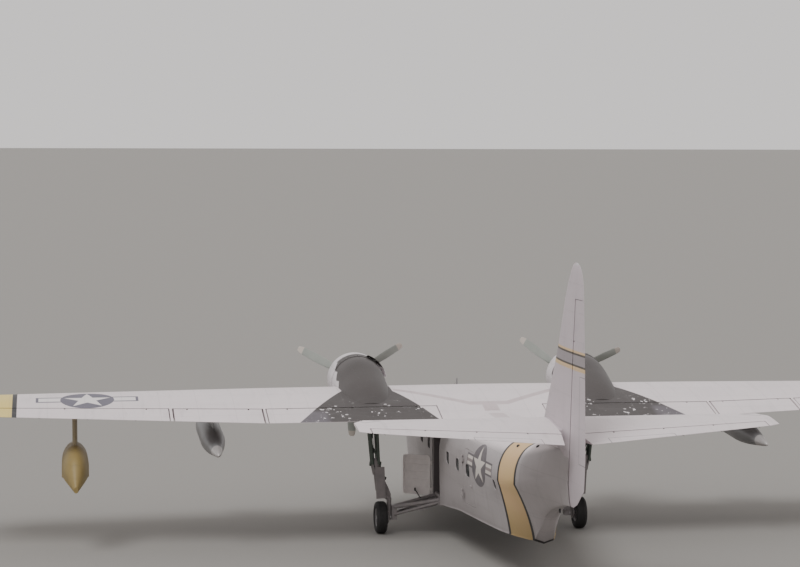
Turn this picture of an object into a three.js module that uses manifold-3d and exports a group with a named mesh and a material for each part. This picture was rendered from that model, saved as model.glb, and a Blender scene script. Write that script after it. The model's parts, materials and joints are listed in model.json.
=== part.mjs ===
// Twin-engine amphibious transport plane on its wheels: a boat hull under a high wing, with floats and tanks
// Millimetres. +X forward, +Y to the left, +Z up. Z = 0 is the ground, X = 0 and Y = 0 the middle of the plane.
import * as THREE from 'three';
import { mergeVertices } from 'three/addons/utils/BufferGeometryUtils.js';
import Module from 'manifold-3d';

const wasm = await Module();
wasm.setup();

// Driving dimensions
const LENGTH = 19150;
const HALF_SPAN = 14730;
const HEIGHT = 7880;

const HULL_SKIN = 60;
const TAIL_SKIN = 45;
const SURFACE_SKIN = 22;
const SPAR = 60;
const FLOOR_Z = 1300;
const ROOF_SPLIT_Z = 3000;
const BOARD_THICKNESS = 25;
const BOARD_GAP = 6;
const BOARD_END_GAP = 60;
const BOW_END = 1950;
const COCKPIT_END = 3750;
const CABIN_END = 13400;
const HULL_END = 18000;
const HULL_ARC_STEPS = 7;
const HULL_ARC_POWER = 2.35;
const SEAM = 0.3;

const WING_JOINT_Y = 5900;
const WING_INCIDENCE = 3;
const WING_HINGE = 0.765;
const FLAP_ROOT_Y = 1420;
const AILERON_ROOT_Y = 8350;
const AILERON_TIP_Y = 13900;

const ENGINE_Y = 3080;
const ENGINE_Z = 3810;
const COWL_FRONT = 5250;
const FIREWALL = 6050;
const NACELLE_END = 8760;
const PROPELLER_S = 4800;
const PROPELLER_RADIUS = 1676;
const SHAFT_RADIUS = 49.4;
const SHAFT_BORE = 50.3;
const SHAFT_SIDES = 20;
const BLADES = 3;
const BLADE_POINTS = 8;
const PROPELLER_TURN = { left: 1.3, right: -6.5 };

const WHEEL_S = 7900;
const WHEEL_Y = 2700;
const WHEEL_RADIUS = 425;
const WHEEL_WIDTH = 290;
const NOSE_WHEEL_S = 2780;
const NOSE_WHEEL_RADIUS = 330;
const NOSE_WHEEL_WIDTH = 190;
const NOSE_WHEEL_Y = 175;
const AXLE_RADIUS = 47.2;
const AXLE_BORE = 48;
const NOSE_BORE = 40;

const FLOAT_Y = 10700;
const TANK_NOSE = 5100;
const TANK_Y = 7160;
const TANK_RADIUS = 315;
const TANK_Z = 2740;

const COVE_GAP = 14;
const LIP_DROP = 40;
const HINGE_PIN = 13.6;
const HINGE_BORE = 14.6;
const HINGE_EYE = 30;
const HINGE_PLATE = 30;
const HINGE_SLOT = 46;
const HINGE_SIDES = 10;

const at = (station) => LENGTH / 2 - station;
const rad = THREE.MathUtils.degToRad;
const lerp = THREE.MathUtils.lerp;

// Colours
const paint = (color, roughness = 0.55, metalness = 0) =>
  new THREE.MeshStandardMaterial({ color, roughness, metalness });
const hullGrey = paint(0xb9b6ba);
const wingWhite = paint(0xd9d3d8);
const nacelleGrey = paint(0x5c5857);
const cowlWhite = paint(0xd5d1d3);
const ochre = paint(0xb8913f);
const silver = paint(0xa9aaae, 0.4, 0.7);
const bladeGrey = paint(0xa9ada8);
const blackGloss = paint(0x16161a, 0.3);
const rubber = paint(0x17171a, 0.9);
const gearGreen = paint(0x5d6a5c);
const engineGrey = paint(0x4a4c4e, 0.5, 0.5);
const glass = paint(0x30383c, 0.1);
const seatGrey = paint(0x4b5650, 0.9);
const boardGrey = paint(0x6f6d66, 0.8);

const plane = new THREE.Group();

function addMesh(name, solid, material) {
  const { vertProperties, triVerts } = solid.getMesh();
  const geometry = new THREE.BufferGeometry();
  geometry.setAttribute('position', new THREE.BufferAttribute(vertProperties, 3));
  geometry.setIndex(new THREE.BufferAttribute(triVerts, 1));
  geometry.computeVertexNormals();
  const mesh = new THREE.Mesh(geometry, material);
  mesh.name = name;
  plane.add(mesh);
  return mesh;
}

// Solids from points and faces, turned the right way out
function solidFromFaces(points, faces) {
  let volume = 0;
  for (const [i, j, k] of faces) {
    const [a, b, c] = [points[i], points[j], points[k]];
    volume += a[0] * (b[1] * c[2] - b[2] * c[1])
      - a[1] * (b[0] * c[2] - b[2] * c[0])
      + a[2] * (b[0] * c[1] - b[1] * c[0]);
  }
  const outward = volume > 0 ? faces : faces.map(([i, j, k]) => [i, k, j]);
  const vertProperties = new Float32Array(points.flat());
  const triVerts = new Uint32Array(outward.flat());
  return new wasm.Manifold(new wasm.Mesh({ numProp: 3, vertProperties, triVerts }));
}

function solidFromGeometry(geometry, matrix = new THREE.Matrix4()) {
  geometry.deleteAttribute('normal');
  geometry.deleteAttribute('uv');
  geometry.applyMatrix4(matrix);
  const merged = mergeVertices(geometry, 1e-3);
  const place = merged.attributes.position;
  const points = [];
  for (let i = 0; i < place.count; i += 1) points.push([place.getX(i), place.getY(i), place.getZ(i)]);
  const faces = [];
  const index = merged.index.array;
  for (let i = 0; i < index.length; i += 3) {
    const face = [index[i], index[i + 1], index[i + 2]];
    if (new Set(face).size === 3) faces.push(face);
  }
  return solidFromFaces(points, faces);
}

// The faces that close a flat ring, in the ring's own turning direction
function capFaces(ring) {
  const normal = new THREE.Vector3();
  ring.forEach((p, i) => {
    const q = ring[(i + 1) % ring.length];
    normal.x += (p[1] - q[1]) * (p[2] + q[2]);
    normal.y += (p[2] - q[2]) * (p[0] + q[0]);
    normal.z += (p[0] - q[0]) * (p[1] + q[1]);
  });
  const size = normal.toArray().map(Math.abs);
  const dropped = size.indexOf(Math.max(...size));
  const flat = ring.map((p) => new THREE.Vector2(...p.filter((value, axis) => axis !== dropped)));
  const turn = Math.sign(THREE.ShapeUtils.area(flat));
  return THREE.ShapeUtils.triangulateShape(flat, []).map(([i, j, k]) => {
    const same = Math.sign(THREE.ShapeUtils.area([flat[i], flat[j], flat[k]])) === turn;
    return same ? [i, j, k] : [i, k, j];
  });
}

function loft(rings) {
  const count = rings[0].length;
  const faces = [];
  for (let r = 0; r + 1 < rings.length; r += 1) {
    for (let i = 0; i < count; i += 1) {
      const a = r * count + i;
      const b = r * count + (i + 1) % count;
      faces.push([a, b, b + count], [a, b + count, a + count]);
    }
  }
  const last = (rings.length - 1) * count;
  for (const [i, j, k] of capFaces(rings[0])) faces.push([i, k, j]);
  for (const [i, j, k] of capFaces(rings.at(-1))) faces.push([last + i, last + j, last + k]);
  return solidFromFaces(rings.flat(), faces);
}

// Simple bodies
function box([x0, y0, z0], [x1, y1, z1]) {
  const geometry = new THREE.BoxGeometry(Math.abs(x1 - x0), Math.abs(y1 - y0), Math.abs(z1 - z0));
  return solidFromGeometry(geometry, new THREE.Matrix4().makeTranslation((x0 + x1) / 2, (y0 + y1) / 2, (z0 + z1) / 2));
}

function tube(from, to, radius, endRadius = radius, sides = 12) {
  const a = new THREE.Vector3(...from);
  const b = new THREE.Vector3(...to);
  const along = b.clone().sub(a);
  const geometry = new THREE.CylinderGeometry(endRadius, radius, along.length(), sides);
  const turn = new THREE.Quaternion().setFromUnitVectors(new THREE.Vector3(0, 1, 0), along.clone().normalize());
  const middle = a.clone().add(b).multiplyScalar(0.5);
  return solidFromGeometry(geometry, new THREE.Matrix4().compose(middle, turn, new THREE.Vector3(1, 1, 1)));
}

// A turned body: profile rows are radius and distance along the axis, closed on the axis or on itself
function turned(profile, centre, axis, sides) {
  const geometry = new THREE.LatheGeometry(profile.map(([r, l]) => new THREE.Vector2(r, l)), sides);
  const turn = new THREE.Quaternion().setFromUnitVectors(new THREE.Vector3(0, 1, 0), new THREE.Vector3(...axis));
  const place = new THREE.Vector3(...centre);
  return solidFromGeometry(geometry, new THREE.Matrix4().compose(place, turn, new THREE.Vector3(1, 1, 1)));
}

const unite = (solids) => solids.slice(1).reduce((whole, solid) => whole.add(solid), solids[0]);

// Everything between two stations, as a block wider and taller than the plane
function between(fromStation, toStation, lowZ = -1000, highZ = 9000, lowY = -16000, highY = 16000) {
  return box([at(toStation), lowY, lowZ], [at(fromStation), highY, highZ]);
}

// Straight-line reading of a table by its first column
function readTable(table, key) {
  const next = table.findIndex((row) => row[0] >= key);
  if (next <= 0) return next === 0 ? [...table[0]] : [...table.at(-1)];
  const [low, high] = [table[next - 1], table[next]];
  const t = (key - low[0]) / (high[0] - low[0]);
  return low.map((value, column) => lerp(value, high[column], t));
}

// Hull lines
// columns: station, keel z, chine y, chine z, waist y, waist z, side y, side z, roof z
const hullTable = [
  [560, 2080, 90, 2150, 200, 2250, 290, 2430, 2720],
  [800, 1800, 240, 1980, 400, 2150, 480, 2400, 2780],
  [1300, 1400, 560, 1720, 700, 1980, 770, 2340, 2840],
  [1950, 1090, 870, 1500, 970, 1820, 1030, 2280, 2880],
  [2150, 1030, 940, 1450, 1030, 1780, 1080, 2280, 2890],
  [2900, 880, 1130, 1290, 1180, 1660, 1215, 2280, 3250],
  [3750, 780, 1220, 1150, 1250, 1580, 1275, 2280, 3330],
  [6100, 690, 1250, 930, 1270, 1500, 1290, 2250, 3420],
  [8750, 660, 1250, 850, 1265, 1500, 1280, 2250, 3450],
  [8780, 790, 1248, 900, 1264, 1500, 1280, 2250, 3450],
  [9900, 850, 1190, 1020, 1230, 1560, 1255, 2280, 3430],
  [11100, 910, 1080, 1120, 1160, 1620, 1195, 2340, 3430],
  [12350, 975, 895, 1130, 1020, 1690, 1090, 2400, 3440],
  [13400, 1030, 710, 1130, 830, 1750, 960, 2430, 3450],
  [14200, 1070, 545, 1150, 680, 1800, 870, 2450, 3470],
  [15350, 1130, 230, 1210, 400, 1850, 720, 2540, 3520],
  [16250, 2000, 100, 2040, 240, 2130, 540, 2700, 3640],
  [17000, 2270, 80, 2300, 160, 2400, 330, 2850, 3740],
  [17640, 2440, 60, 2460, 90, 2560, 135, 2950, 3790],
  [18000, 2490, 45, 2505, 72, 2600, 108, 2980, 3810],
];

function hullRing(station, inset = 0) {
  const [, keelZ, chineY, chineZ, waistY, waistZ, sideY, sideZ, roofZ] = readTable(hullTable, station);
  const half = [[chineY - inset, chineZ + inset], [waistY - inset, waistZ], [sideY - inset, sideZ]];
  for (let i = 1; i < HULL_ARC_STEPS; i += 1) {
    const angle = (i / HULL_ARC_STEPS) * Math.PI / 2;
    const y = (sideY - inset) * Math.cos(angle) ** (2 / HULL_ARC_POWER);
    const z = sideZ + (roofZ - inset - sideZ) * Math.sin(angle) ** (2 / HULL_ARC_POWER);
    half.push([y, z]);
  }
  const ring = [[0, keelZ + inset], ...half, [0, roofZ - inset], ...half.reverse().map(([y, z]) => [-y, z])];
  return ring.map(([y, z]) => [at(station), y, z]);
}

const hullStations = hullTable.map((row) => row[0]);
const hullOuter = loft(hullStations.map((station) => hullRing(station)));
const hullInner = loft([BOW_END - 2, ...hullStations.filter((station) => station > BOW_END && station <= CABIN_END)]
  .map((station) => hullRing(station, HULL_SKIN)));
const hullShell = hullOuter.subtract(hullInner);

// Lifting surfaces
// Half thickness of a section of unit greatest thickness, at a share of its chord
function halfThickness(share) {
  return 5 * (0.2969 * Math.sqrt(share) - 0.126 * share - 0.3516 * share ** 2
    + 0.2843 * share ** 3 - 0.1015 * share ** 4);
}

const CAMBER = 0.02;
const CAMBER_AT = 0.3;
const EDGE_HALF = 4;
const AIRFOIL_STEPS = 8;

function camberLine(share, camber) {
  if (share < CAMBER_AT) return camber * (2 * CAMBER_AT * share - share ** 2) / CAMBER_AT ** 2;
  return camber * (1 - 2 * CAMBER_AT + 2 * CAMBER_AT * share - share ** 2) / (1 - CAMBER_AT) ** 2;
}

// A section has its leading edge, its directions aft and up, its chord, its thickness and its camber
function sectionPoint({ edge, aft, up }, along, height) {
  return edge.map((value, axis) => value + aft[axis] * along + up[axis] * height);
}

function airfoilRing(section, grow = 0) {
  const ring = [];
  for (let i = -AIRFOIL_STEPS; i <= AIRFOIL_STEPS; i += 1) {
    const share = (1 - Math.cos(Math.PI * Math.abs(i) / AIRFOIL_STEPS)) / 2;
    const half = Math.max(halfThickness(share) * section.thickness, share > 0.5 ? EDGE_HALF : 0) + grow;
    const middle = camberLine(share, section.camber) * section.chord;
    ring.push(sectionPoint(section, lerp(-grow, section.chord + grow, share), middle + (i < 0 ? half : -half)));
  }
  return ring;
}

// The hollow of a thin-skinned fin or tailplane, from its nose to the spar ahead of a hinge
function hollowRing(section, hinge) {
  const nose = halfThickness(hinge) * section.thickness;
  const rear = hinge - (nose + COVE_GAP + SPAR) / section.chord;
  const shares = [0.05, 0.2, 0.5, 1].map((share) => share * rear);
  const side = (direction) => shares.map((share) => {
    const half = halfThickness(share) * section.thickness - SURFACE_SKIN;
    return sectionPoint(section, share * section.chord, direction * Math.max(half, 3));
  });
  return [...side(1), ...side(-1).reverse()];
}

function mixSections(a, b, t) {
  const mixed = {};
  for (const key of ['edge', 'aft', 'up']) mixed[key] = a[key].map((value, axis) => lerp(value, b[key][axis], t));
  for (const key of ['chord', 'thickness', 'camber']) mixed[key] = lerp(a[key], b[key], t);
  return mixed;
}

// A trailing surface on a straight hinge line between two sections of its wing or tail
// It gives the surface, the block that clears it out of what carries it, and the hinge plates that stay there
// lip: the part of a half turn, at its lower end, where a flap that only drops needs an open cove
function trailingSurface({ root, tip, hingeRoot, hingeTip, plates, middle = [], lip = 0 }) {
  const ends = [{ section: root, hinge: hingeRoot }, ...middle, { section: tip, hinge: hingeTip }];
  const arcSteps = 6;
  const noseOf = ({ section, hinge }) => ({
    radius: halfThickness(hinge) * section.thickness,
    along: hinge * section.chord,
    height: camberLine(hinge, section.camber) * section.chord,
  });
  const ringOf = (end, grow, reach) => {
    const nose = noseOf(end);
    const radius = nose.radius + grow;
    const ring = [];
    const turn = Math.PI * (1 - (grow > 0 ? lip : 0));
    for (let i = 0; i <= arcSteps; i += 1) {
      const angle = Math.PI / 2 + (turn * i) / arcSteps;
      const along = nose.along + radius * Math.cos(angle);
      ring.push(sectionPoint(end.section, along, nose.height + radius * Math.sin(angle)));
    }
    const edge = grow > 0 ? radius : EDGE_HALF;
    const middleHeight = grow > 0 ? nose.height : 0;
    const drop = grow > 0 && lip > 0 ? LIP_DROP : 0;
    if (drop > 0) {
      const lipAlong = nose.along + radius * Math.cos(Math.PI / 2 + turn);
      ring.push(sectionPoint(end.section, lipAlong, middleHeight - edge - drop));
    }
    ring.push(sectionPoint(end.section, end.section.chord + reach, middleHeight - edge - drop));
    ring.push(sectionPoint(end.section, end.section.chord + reach, middleHeight + edge));
    return ring;
  };
  let surface = loft(ends.map((end) => ringOf(end, 0, 0)));
  const cutter = (gap, endGap) => {
    const axisEnds = ends.map((end) => new THREE.Vector3(...end.section.edge));
    const out = axisEnds.at(-1).clone().sub(axisEnds[0]);
    const stretch = endGap / out.length();
    const rows = ends.map((end) => end);
    const shift = (end, other, amount) => ({
      section: mixSections(end.section, other.section, -amount),
      hinge: end.hinge - (other.hinge - end.hinge) * amount,
    });
    const lengthOf = (a, b) => new THREE.Vector3(...a.section.edge).distanceTo(new THREE.Vector3(...b.section.edge));
    rows[0] = shift(ends[0], ends[1], stretch * out.length() / lengthOf(ends[0], ends[1]));
    rows[rows.length - 1] = shift(ends.at(-1), ends.at(-2), stretch * out.length() / lengthOf(ends.at(-1), ends.at(-2)));
    return loft(rows.map((end) => ringOf(end, gap, 400)));
  };
  const hingePoint = (end) => {
    const nose = noseOf(end);
    return new THREE.Vector3(...sectionPoint(end.section, nose.along, nose.height));
  };
  const from = hingePoint(ends[0]);
  const to = hingePoint(ends.at(-1));
  const axis = to.clone().sub(from).normalize();
  const fixed = [];
  for (const share of plates) {
    const section = mixSections(root, tip, share);
    const nose = noseOf({ section, hinge: lerp(hingeRoot, hingeTip, share) });
    const centre = from.clone().lerp(to, share);
    const aft = new THREE.Vector3(...section.aft).addScaledVector(axis, -axis.dot(new THREE.Vector3(...section.aft)));
    aft.normalize();
    const up = new THREE.Vector3().crossVectors(axis, aft);
    const basis = new THREE.Matrix4().makeBasis(aft, axis, up).setPosition(centre);
    const block = (lengthFrom, lengthTo, thick, tall) => {
      const geometry = new THREE.BoxGeometry(lengthTo - lengthFrom, thick, tall);
      geometry.translate((lengthFrom + lengthTo) / 2, 0, 0);
      return solidFromGeometry(geometry, basis);
    };
    const round = (radius, thick) => solidFromGeometry(new THREE.CylinderGeometry(radius, radius, thick, HINGE_SIDES), basis);
    const inner = nose.radius + COVE_GAP;
    fixed.push(block(-inner - 40, 0, HINGE_PLATE, 1.4 * HINGE_EYE)
      .add(round(HINGE_EYE, HINGE_PLATE))
      .subtract(round(HINGE_BORE, HINGE_PLATE + 20)));
    surface = surface.subtract(block(-inner, 1.5 * HINGE_EYE, HINGE_SLOT, 2 * nose.radius + 60))
      .add(round(HINGE_PIN, HINGE_SLOT + 20));
  }
  return { surface, cutter, fixed: unite(fixed), from, to, axis };
}

function fitted(solid, moving, endGap) {
  return solid.subtract(moving.cutter(COVE_GAP, endGap)).add(moving.fixed);
}

// Wing
// columns: y, trailing-edge station, trailing-edge z, chord, greatest thickness, chord share kept at the tip
const wingTable = [
  [0, 9900, 3280, 3800, 640],
  [WING_JOINT_Y, 9900, 3280, 3800, 580],
  [HALF_SPAN, 8900, 3510, 2020, 250],
];
// columns: y, share of the chord and thickness that is left of the full section
const tipTable = [
  [14050, 1],
  [14420, 0.9],
  [14640, 0.7],
  [HALF_SPAN, 0.38],
];

function wingSection(y, side = 1, kept = 1) {
  const [, edgeS, edgeZ, fullChord, fullThickness] = readTable(wingTable, y);
  const slope = rad(WING_INCIDENCE);
  const chord = fullChord * kept;
  const cutAft = fullChord * (1 - kept) * 0.5;
  const lengthBack = fullChord - cutAft;
  const aft = [-Math.cos(slope), 0, -Math.sin(slope)];
  const up = [-Math.sin(slope), 0, Math.cos(slope)];
  const full = [at(edgeS) - aft[0] * fullChord, side * y, edgeZ - aft[2] * fullChord];
  const edge = full.map((value, axis) => value + aft[axis] * (lengthBack - chord));
  return { edge, aft, up, chord, thickness: fullThickness * kept, camber: CAMBER };
}

const FLAP_LIP = 0.12;

function wingSurface(fromY, toY, side, plates, lip = 0) {
  return trailingSurface({
    root: wingSection(fromY, side),
    tip: wingSection(toY, side),
    hingeRoot: WING_HINGE,
    hingeTip: WING_HINGE,
    plates,
    lip,
  });
}

const END_GAP = 30;
const FLAP_END_GAP = 45;
const sides = [['left', 1], ['right', -1]];
const movingWing = {};
for (const [name, side] of sides) {
  movingWing[name] = {
    innerFlap: wingSurface(FLAP_ROOT_Y, WING_JOINT_Y - FLAP_END_GAP - 10, side, [0.12, 0.88], FLAP_LIP),
    outerFlap: wingSurface(WING_JOINT_Y + FLAP_END_GAP + 30, AILERON_ROOT_Y - 140, side, [0.15, 0.85], FLAP_LIP),
    aileron: wingSurface(AILERON_ROOT_Y, AILERON_TIP_Y, side, [0.1, 0.85]),
  };
}

let wingCentre = loft([
  airfoilRing(wingSection(WING_JOINT_Y - SEAM / 2, -1)),
  airfoilRing(wingSection(0)),
  airfoilRing(wingSection(WING_JOINT_Y - SEAM / 2, 1)),
]);
const wingCentreGrown = loft([-1, 0, 1].map((side) =>
  airfoilRing(wingSection(Math.abs(side) * WING_JOINT_Y, side || 1), SEAM)));
for (const [name] of sides) wingCentre = fitted(wingCentre, movingWing[name].innerFlap, END_GAP);
addMesh('wing_centre', wingCentre, wingWhite);

for (const [name, side] of sides) {
  const moving = movingWing[name];
  const rings = [airfoilRing(wingSection(WING_JOINT_Y + SEAM / 2, side))];
  for (const [y, kept] of tipTable) rings.push(airfoilRing(wingSection(y, side, kept)));
  let outer = loft(rings);
  outer = fitted(outer, moving.outerFlap, FLAP_END_GAP);
  outer = fitted(outer, moving.aileron, END_GAP);
  addMesh(`wing_outer_${name}`, outer, wingWhite);
  addMesh(`flap_inner_${name}`, moving.innerFlap.surface, wingWhite);
  addMesh(`flap_outer_${name}`, moving.outerFlap.surface, wingWhite);
  addMesh(`aileron_${name}`, moving.aileron.surface, wingWhite);
}

// Fin and rudder
// columns: z, leading-edge station, trailing-edge station, greatest thickness
const finTable = [
  [2500, 15300, 18180, 290],
  [2620, 15300, 18500, 290],
  [3000, 15300, 19060, 290],
  [3300, 14700, LENGTH - 20, 290],
  [3700, 15080, LENGTH, 290],
  [4090, 15400, LENGTH - 20, 280],
  [5900, 16700, 19010, 220],
  [7100, 17330, 18880, 155],
  [7450, 17570, 18830, 125],
  [7700, 17790, 18680, 90],
  [7830, 17950, 18500, 55],
  [HEIGHT, 18080, 18300, 30],
];
const FIN_BASE_Z = 3300;
const RUDDER_LOW_Z = 2500;
const RUDDER_TOP_Z = 7100;
const RUDDER_HINGE_LOW = 18000;
const RUDDER_HINGE_TOP = 18360;

function finSection(z) {
  const [, leading, trailing, thickness] = readTable(finTable, z);
  return { edge: [at(leading), 0, z], aft: [-1, 0, 0], up: [0, 1, 0], chord: trailing - leading, thickness, camber: 0 };
}

function rudderEnd(z) {
  const section = finSection(z);
  const t = (z - RUDDER_LOW_Z) / (RUDDER_TOP_Z - RUDDER_LOW_Z);
  const station = lerp(RUDDER_HINGE_LOW, RUDDER_HINGE_TOP, t);
  return { section, hinge: (at(0) - section.edge[0] > 0 ? station - (at(0) - section.edge[0]) : 0) / section.chord };
}

const rudderRoot = rudderEnd(RUDDER_LOW_Z);
const rudderTip = rudderEnd(RUDDER_TOP_Z);
const rudder = trailingSurface({
  root: rudderRoot.section,
  tip: rudderTip.section,
  hingeRoot: rudderRoot.hinge,
  hingeTip: rudderTip.hinge,
  middle: [2620, 3000, 3700, 4090, 5900].map(rudderEnd),
  plates: [],
});

// Tailplane and elevators
const TAIL_TIP_Y = 4725;
const TAIL_DIHEDRAL = 3.8;
const TAIL_INCIDENCE = 3.5;
const ELEVATOR_HINGE_S = 17830;
// columns: y, leading-edge station, trailing-edge station, trailing-edge z, greatest thickness
const tailTable = [
  [0, 15750, 18620, 3930, 300],
  [4500, 16900, 18140, 3930 + 4500 * Math.tan(rad(TAIL_DIHEDRAL)), 125],
  [TAIL_TIP_Y, 17120, 18020, 3930 + TAIL_TIP_Y * Math.tan(rad(TAIL_DIHEDRAL)), 65],
];
const ELEVATOR_ROOT_Y = 215;
const ELEVATOR_TIP_Y = 4440;

function tailSection(y, side) {
  const [, leading, trailing, edgeZ, thickness] = readTable(tailTable, y);
  const slope = rad(TAIL_INCIDENCE);
  const chord = trailing - leading;
  const aft = [-Math.cos(slope), 0, -Math.sin(slope)];
  const up = [-Math.sin(slope), 0, Math.cos(slope)];
  return { edge: [at(leading), side * y, edgeZ + chord * Math.sin(slope)], aft, up, chord, thickness, camber: 0 };
}

function elevatorHinge(y) {
  const [, leading, trailing] = readTable(tailTable, y);
  return (ELEVATOR_HINGE_S - leading) / (trailing - leading);
}

// The elevator's root is cut at a slant, which leaves room for the rudder to swing
function elevatorRootCut(side, clearance) {
  const outline = [
    [17500, -600],
    [19200, -600],
    [19200, 400 + clearance],
    [17900, ELEVATOR_ROOT_Y + clearance],
    [17500, ELEVATOR_ROOT_Y + clearance],
  ];
  const ring = (z) => outline.map(([station, y]) => [at(station), side * y, z]);
  return loft([ring(3000), ring(5200)]);
}

const elevators = {};
const tailplanes = {};
for (const [name, side] of sides) {
  const moving = trailingSurface({
    root: tailSection(ELEVATOR_ROOT_Y, side),
    tip: tailSection(ELEVATOR_TIP_Y, side),
    hingeRoot: elevatorHinge(ELEVATOR_ROOT_Y),
    hingeTip: elevatorHinge(ELEVATOR_TIP_Y),
    plates: [0.18, 0.72],
  });
  const tailplane = loft([40, 4500, 4640, TAIL_TIP_Y].map((y) => airfoilRing(tailSection(y, side))));
  const hollow = loft([20, 1500, 4250].map((y) => hollowRing(tailSection(y, side), elevatorHinge(y))));
  tailplanes[name] = fitted(tailplane.subtract(hollow), moving, END_GAP);
  elevators[name] = { ...moving, surface: moving.surface.subtract(elevatorRootCut(side, 0)) };
}

// Rudder hinge plates: one low on the tail, one high on the fin
const rudderPlates = [0.09, 0.8].map((share) => {
  const z = lerp(RUDDER_LOW_Z, RUDDER_TOP_Z, share);
  const axis = rudder.axis;
  const centre = rudder.from.clone().lerp(rudder.to, share);
  const radius = halfThickness(rudderEnd(z).hinge) * finSection(z).thickness;
  const aft = new THREE.Vector3(-1, 0, 0).addScaledVector(axis, axis.x).normalize();
  const side = new THREE.Vector3().crossVectors(axis, aft);
  const basis = new THREE.Matrix4().makeBasis(aft, axis, side).setPosition(centre);
  return { basis, radius };
});

function plateBlock(basis, lengthFrom, lengthTo, thick, tall) {
  const geometry = new THREE.BoxGeometry(lengthTo - lengthFrom, thick, tall);
  geometry.translate((lengthFrom + lengthTo) / 2, 0, 0);
  return solidFromGeometry(geometry, basis);
}

function plateRound(basis, radius, thick) {
  return solidFromGeometry(new THREE.CylinderGeometry(radius, radius, thick, HINGE_SIDES), basis);
}

let rudderSolid = rudder.surface;
const rudderFixed = rudderPlates.map(({ basis, radius }) => {
  rudderSolid = rudderSolid
    .subtract(plateBlock(basis, -radius - COVE_GAP, 1.5 * HINGE_EYE, HINGE_SLOT, 2 * radius + 60))
    .add(plateRound(basis, HINGE_PIN, HINGE_SLOT + 20));
  return plateBlock(basis, -radius - COVE_GAP - 40, 0, HINGE_PLATE, 1.4 * HINGE_EYE)
    .add(plateRound(basis, HINGE_EYE, HINGE_PLATE))
    .subtract(plateRound(basis, HINGE_BORE, HINGE_PLATE + 20));
});
addMesh('rudder', rudderSolid, wingWhite);

const hullGrown = loft(hullStations.filter((station) => station > 12000).map((station) => hullRing(station, -SEAM)));
const finRings = [FIN_BASE_Z, 3700, 4090, 5900, 7100, 7450, 7700, 7830, HEIGHT].map((z) => airfoilRing(finSection(z)));
const rudderRoom = rudder.cutter(COVE_GAP, 15);
const finHollow = loft([FIN_BASE_Z, 3700, 4090, 5900, 6900].map((z) => {
  const end = rudderEnd(z);
  return hollowRing(end.section, end.hinge);
}));
const finWhole = loft(finRings).subtract(finHollow).subtract(hullGrown).subtract(rudderRoom).add(rudderFixed[1]);
addMesh('fin', finWhole, wingWhite);
const finGrown = loft([FIN_BASE_Z, 3700, 4090, 5900, 7100].map((z) => airfoilRing(finSection(z), SEAM)));

for (const [name, side] of sides) {
  const room = elevatorRootCut(side, -25);
  const tailplane = tailplanes[name].subtract(finGrown).subtract(rudderRoom).subtract(room);
  addMesh(`tailplane_${name}`, tailplane, wingWhite);
  addMesh(`elevator_${name}`, elevators[name].surface, wingWhite);
}

// Hull pieces
const WELL = { from: 7650, to: 8700, depthY: 850, low: 850, high: 2950, wall: 90 };
const NOSE_WELL = { from: 2330, to: 3130, halfY: 420, high: 1290 };
const DOOR = { from: 11415, swing: 850, low: 1420, high: 2800, gap: 8, pin: 12, pinOut: 26, knuckles: [1650, 2500] };
// stations of the cabin windows' middles, alike on both sides
const cabinWindows = [6100, 7180, 9795, 10870];
const DOOR_WINDOW = 11840;
const TAIL_WINDOW = 13850;
const TAIL_WINDOW_LENGTH = 170;
const TAIL_WINDOW_HEIGHT = 250;
const WINDOW_Z = 2290;
const WINDOW_LENGTH = 360;
const WINDOW_HEIGHT = 320;
const windowHole = (station, low, high, length = WINDOW_LENGTH, height = WINDOW_HEIGHT) => between(
  station - length / 2, station + length / 2, WINDOW_Z - height / 2, WINDOW_Z + height / 2, low, high);

const wheelRoom = (side) => between(WELL.from, WELL.to, WELL.low, WELL.high, ...[side * WELL.depthY, side * 3000].sort((a, b) => a - b));
const noseRoom = between(NOSE_WELL.from, NOSE_WELL.to, -500, NOSE_WELL.high, -NOSE_WELL.halfY, NOSE_WELL.halfY);

addMesh('bow', hullOuter.intersect(between(0, BOW_END - SEAM)), hullGrey);
const bottom = hullOuter.intersect(between(BOW_END, CABIN_END - SEAM, -1000, FLOOR_Z - SEAM))
  .subtract(noseRoom).subtract(wheelRoom(1)).subtract(wheelRoom(-1));
addMesh('hull_bottom', bottom, hullGrey);

// The doorway's rear edge is round about the door's pin line, and so is the door's
const doorHinge = { s: DOOR.from - 5, y: readTable(hullTable, DOOR.from)[6] + DOOR.pinOut };

function doorway(gap) {
  const swept = tube([at(doorHinge.s), doorHinge.y, DOOR.low + gap], [at(doorHinge.s), doorHinge.y, DOOR.high - gap],
    DOOR.swing - gap, DOOR.swing - gap, 64);
  return swept.intersect(between(DOOR.from + gap, DOOR.from + DOOR.swing, 0, 9000, 400, 3000));
}

// The knuckles that stay on the wall, above and below each of the door's
function doorwayKnuckles() {
  const x = at(doorHinge.s);
  return DOOR.knuckles.flatMap((z) => [[50.5, 100], [-100, -50.5]].map(([low, high]) =>
    tube([x, doorHinge.y, z + low], [x, doorHinge.y, z + high], DOOR.pin)
      .add(box([x, doorHinge.y - 8, z + low], [x + 70, doorHinge.y + 8, z + high]))
      .add(box([x + 45, doorHinge.y - 100, z + low], [x + 70, doorHinge.y + 8, z + high]))));
}

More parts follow.
